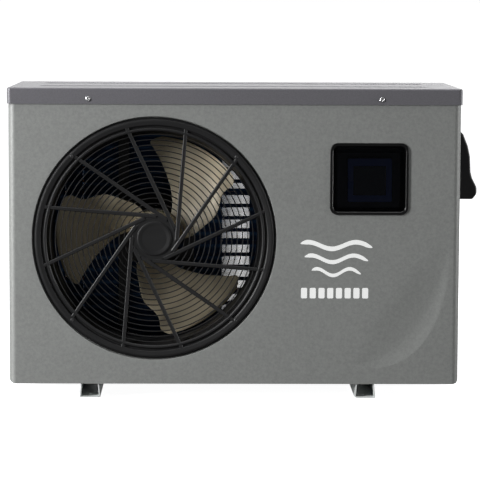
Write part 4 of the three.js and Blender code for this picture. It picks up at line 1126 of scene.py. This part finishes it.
def display_cover():
    """A smoked flap on a full-width barrel, with a finger ridge along its lower edge."""
    centre, low, high = placed("display_cover")
    x, hinge = centre.x, joint_place("display_cover_hinge")
    w, h, plate_z = 137.8, 124.6, hinge.z - 53.1
    levels = [(w, h, 9.4, 2.9), (w, h, 9.4, 0.9), (w - 0.9, h - 0.9, 9, 0.4)]
    make("display_cover", lofted(levels, Vector((x, 0, plate_z))))
    half, r = (high.x - low.x) / 2, 2.2
    x0, x1 = x - half, x + half
    barrel = rounded([(0, x0), (r, x0, 0.4), (r, x1, 0.4), (0, x1)], 0.3, 3, closed=False)
    pin = turned(barrel, hinge, "X", 32, closed=False)
    make("display_cover", pin, "display_cover_barrel", replaces=[])
    ridge = prism(rounded_rect(x, plate_z - h / 2 + 5.5, 26, 2.2, 1.09, 6), -0.5, 0.5)
    make("display_cover", ridge, "display_cover_ridge", replaces=[])


DISPLAY_FRAME = moulded("display_frame", linear(72, 90, 146), 0.3, strength=0.04, coat=0.3)


def controls():
    control_bezel()
    display()
    display_cover()
    polished("inverter_box", 0.5)
    polished("heat_sink", 0.3)
    polished("terminal_block", 0.4)


# ---- stage

CAMERA_LEFT, CAMERA_BACK, CAMERA_HEIGHT = 62.0, 4565.0, 773.5
CAMERA_YAW, CAMERA_PITCH, CAMERA_ROLL = -0.91, -5.8, -0.25
CAMERA_LENS = 177.45


def camera():
    data = bpy.data.cameras.new("camera")
    data.lens = CAMERA_LENS
    data.sensor_width = 36
    data.clip_end = 2000
    obj = linked("camera", data)
    place = ORIGIN + Vector((-CAMERA_LEFT, -CAMERA_BACK, CAMERA_HEIGHT)) * MM
    pose = Matrix.Translation(place)
    for angle, axis in ((CAMERA_YAW, "Z"), (CAMERA_PITCH, "X"), (CAMERA_ROLL, "Y"), (90, "X")):
        pose = pose @ Matrix.Rotation(math.radians(angle), 4, axis)
    obj.matrix_world = pose
    bpy.context.scene.camera = obj


def area_light(name, place, target, size, power):
    data = bpy.data.lights.new(name, "AREA")
    data.shape = "RECTANGLE"
    data.size, data.size_y = size
    data.energy = power
    obj = linked(name, data)
    obj.location = place
    obj.rotation_euler = (Vector(target) - Vector(place)).to_track_quat("-Z", "Y").to_euler()
    obj.visible_camera = False


def floor():
    """A wide pale floor with a low far wall. Both keep their own light off the object."""
    m = Material("studio_floor")
    tone = m.mix(m.ramp(m.noise(3), 0.3, 0.7), (0.86, 0.86, 0.87), (0.9, 0.9, 0.9))
    m.set(Base_Color=tone, Roughness=0.75, Emission_Color=(1, 1, 1), Emission_Strength=FLOOR_GLOW,
          Specular_IOR_Level=0.0)
    m.material.cycles.emission_sampling = "NONE"
    n = 60
    mesh = bpy.data.meshes.new("studio_floor")
    verts = [(x, y, z) for z in (FLOOR_Z, WALL_HIGH) for x, y in circle(FLOOR_R, n)]
    wall = [(k, (k + 1) % n, (k + 1) % n + n, k + n) for k in range(n)]
    mesh.from_pydata(verts, [], [tuple(range(n)), *wall])
    mesh.materials.append(m.material)
    obj = linked("studio_floor", mesh)
    obj.visible_diffuse = False
    obj.visible_glossy = False
    obj.visible_transmission = False


def studio_world():
    """Soft light by direction: bright behind the object, grey at its sides and above, dim in front."""
    world = bpy.data.worlds.new("studio")
    m = Nodes(world)
    direction = m.new("TexCoord").outputs["Generated"]
    split = m.new("SeparateXYZ")
    m.link(direction, split.inputs[0])
    y, z = split.outputs["Y"], split.outputs["Z"]
    above = m.mix(m.ramp(z, 0.1, 0.7), (WORLD_SIDE,) * 3, (WORLD_TOP,) * 3)
    front = m.mix(m.ramp(z, 0.3, 0.42), (WORLD_FRONT_LOW,) * 3, (WORLD_FRONT,) * 3)
    sky = m.mix(m.ramp(y, -0.1, -0.4), above, front)
    behind = m.mix(m.ramp(z, 0.45, 0.25), (0.0,) * 3, (WORLD_BACK,) * 3)
    sky = m.mix(1.0, sky, m.mix(m.ramp(y, 0.05, 0.4), (0.0,) * 3, behind), "LIGHTEN")
    ground = m.mix(m.ramp(z, -0.01, -0.03), sky, (WORLD_LOW,) * 3)
    m.link(ground, m.tree.nodes["Background"].inputs["Color"])
    bpy.context.scene.world = world


FLOOR_R, FLOOR_Z, WALL_HIGH, FLOOR_GLOW = 600.0, -0.0006, 260.0, 0.94  # metres, and its own light
WORLD_SIDE, WORLD_TOP, WORLD_LOW = 0.17, 0.35, 0.08
WORLD_FRONT_LOW, WORLD_FRONT, WORLD_BACK = 0.07, 0.03, 2.2


def stage():
    floor()
    studio_world()
    bpy.context.scene.view_settings.view_transform = "Standard"
    aim = (0, 0, 0.3)
    area_light("key_left", (-3.25, -1.7, 1.4), aim, (0.8, 2.2), 178)
    area_light("floor_bounce", (0.0, -0.9, 0.03), (0, 0, 0.12), (1.7, 0.5), 0.4)
    area_light("fill_right", (4.5, -0.8, 0.9), aim, (0.8, 2.0), 75)
    area_light("overhead", (0.0, -0.3, 2.8), aim, (2.4, 1.2), 26)
    area_light("rear", (1.8, 3.2, 1.8), aim, (1.6, 1.6), 40)


# ---- everything

case()
fan()
evaporator()
inner_parts()
controls()
camera()
stage()
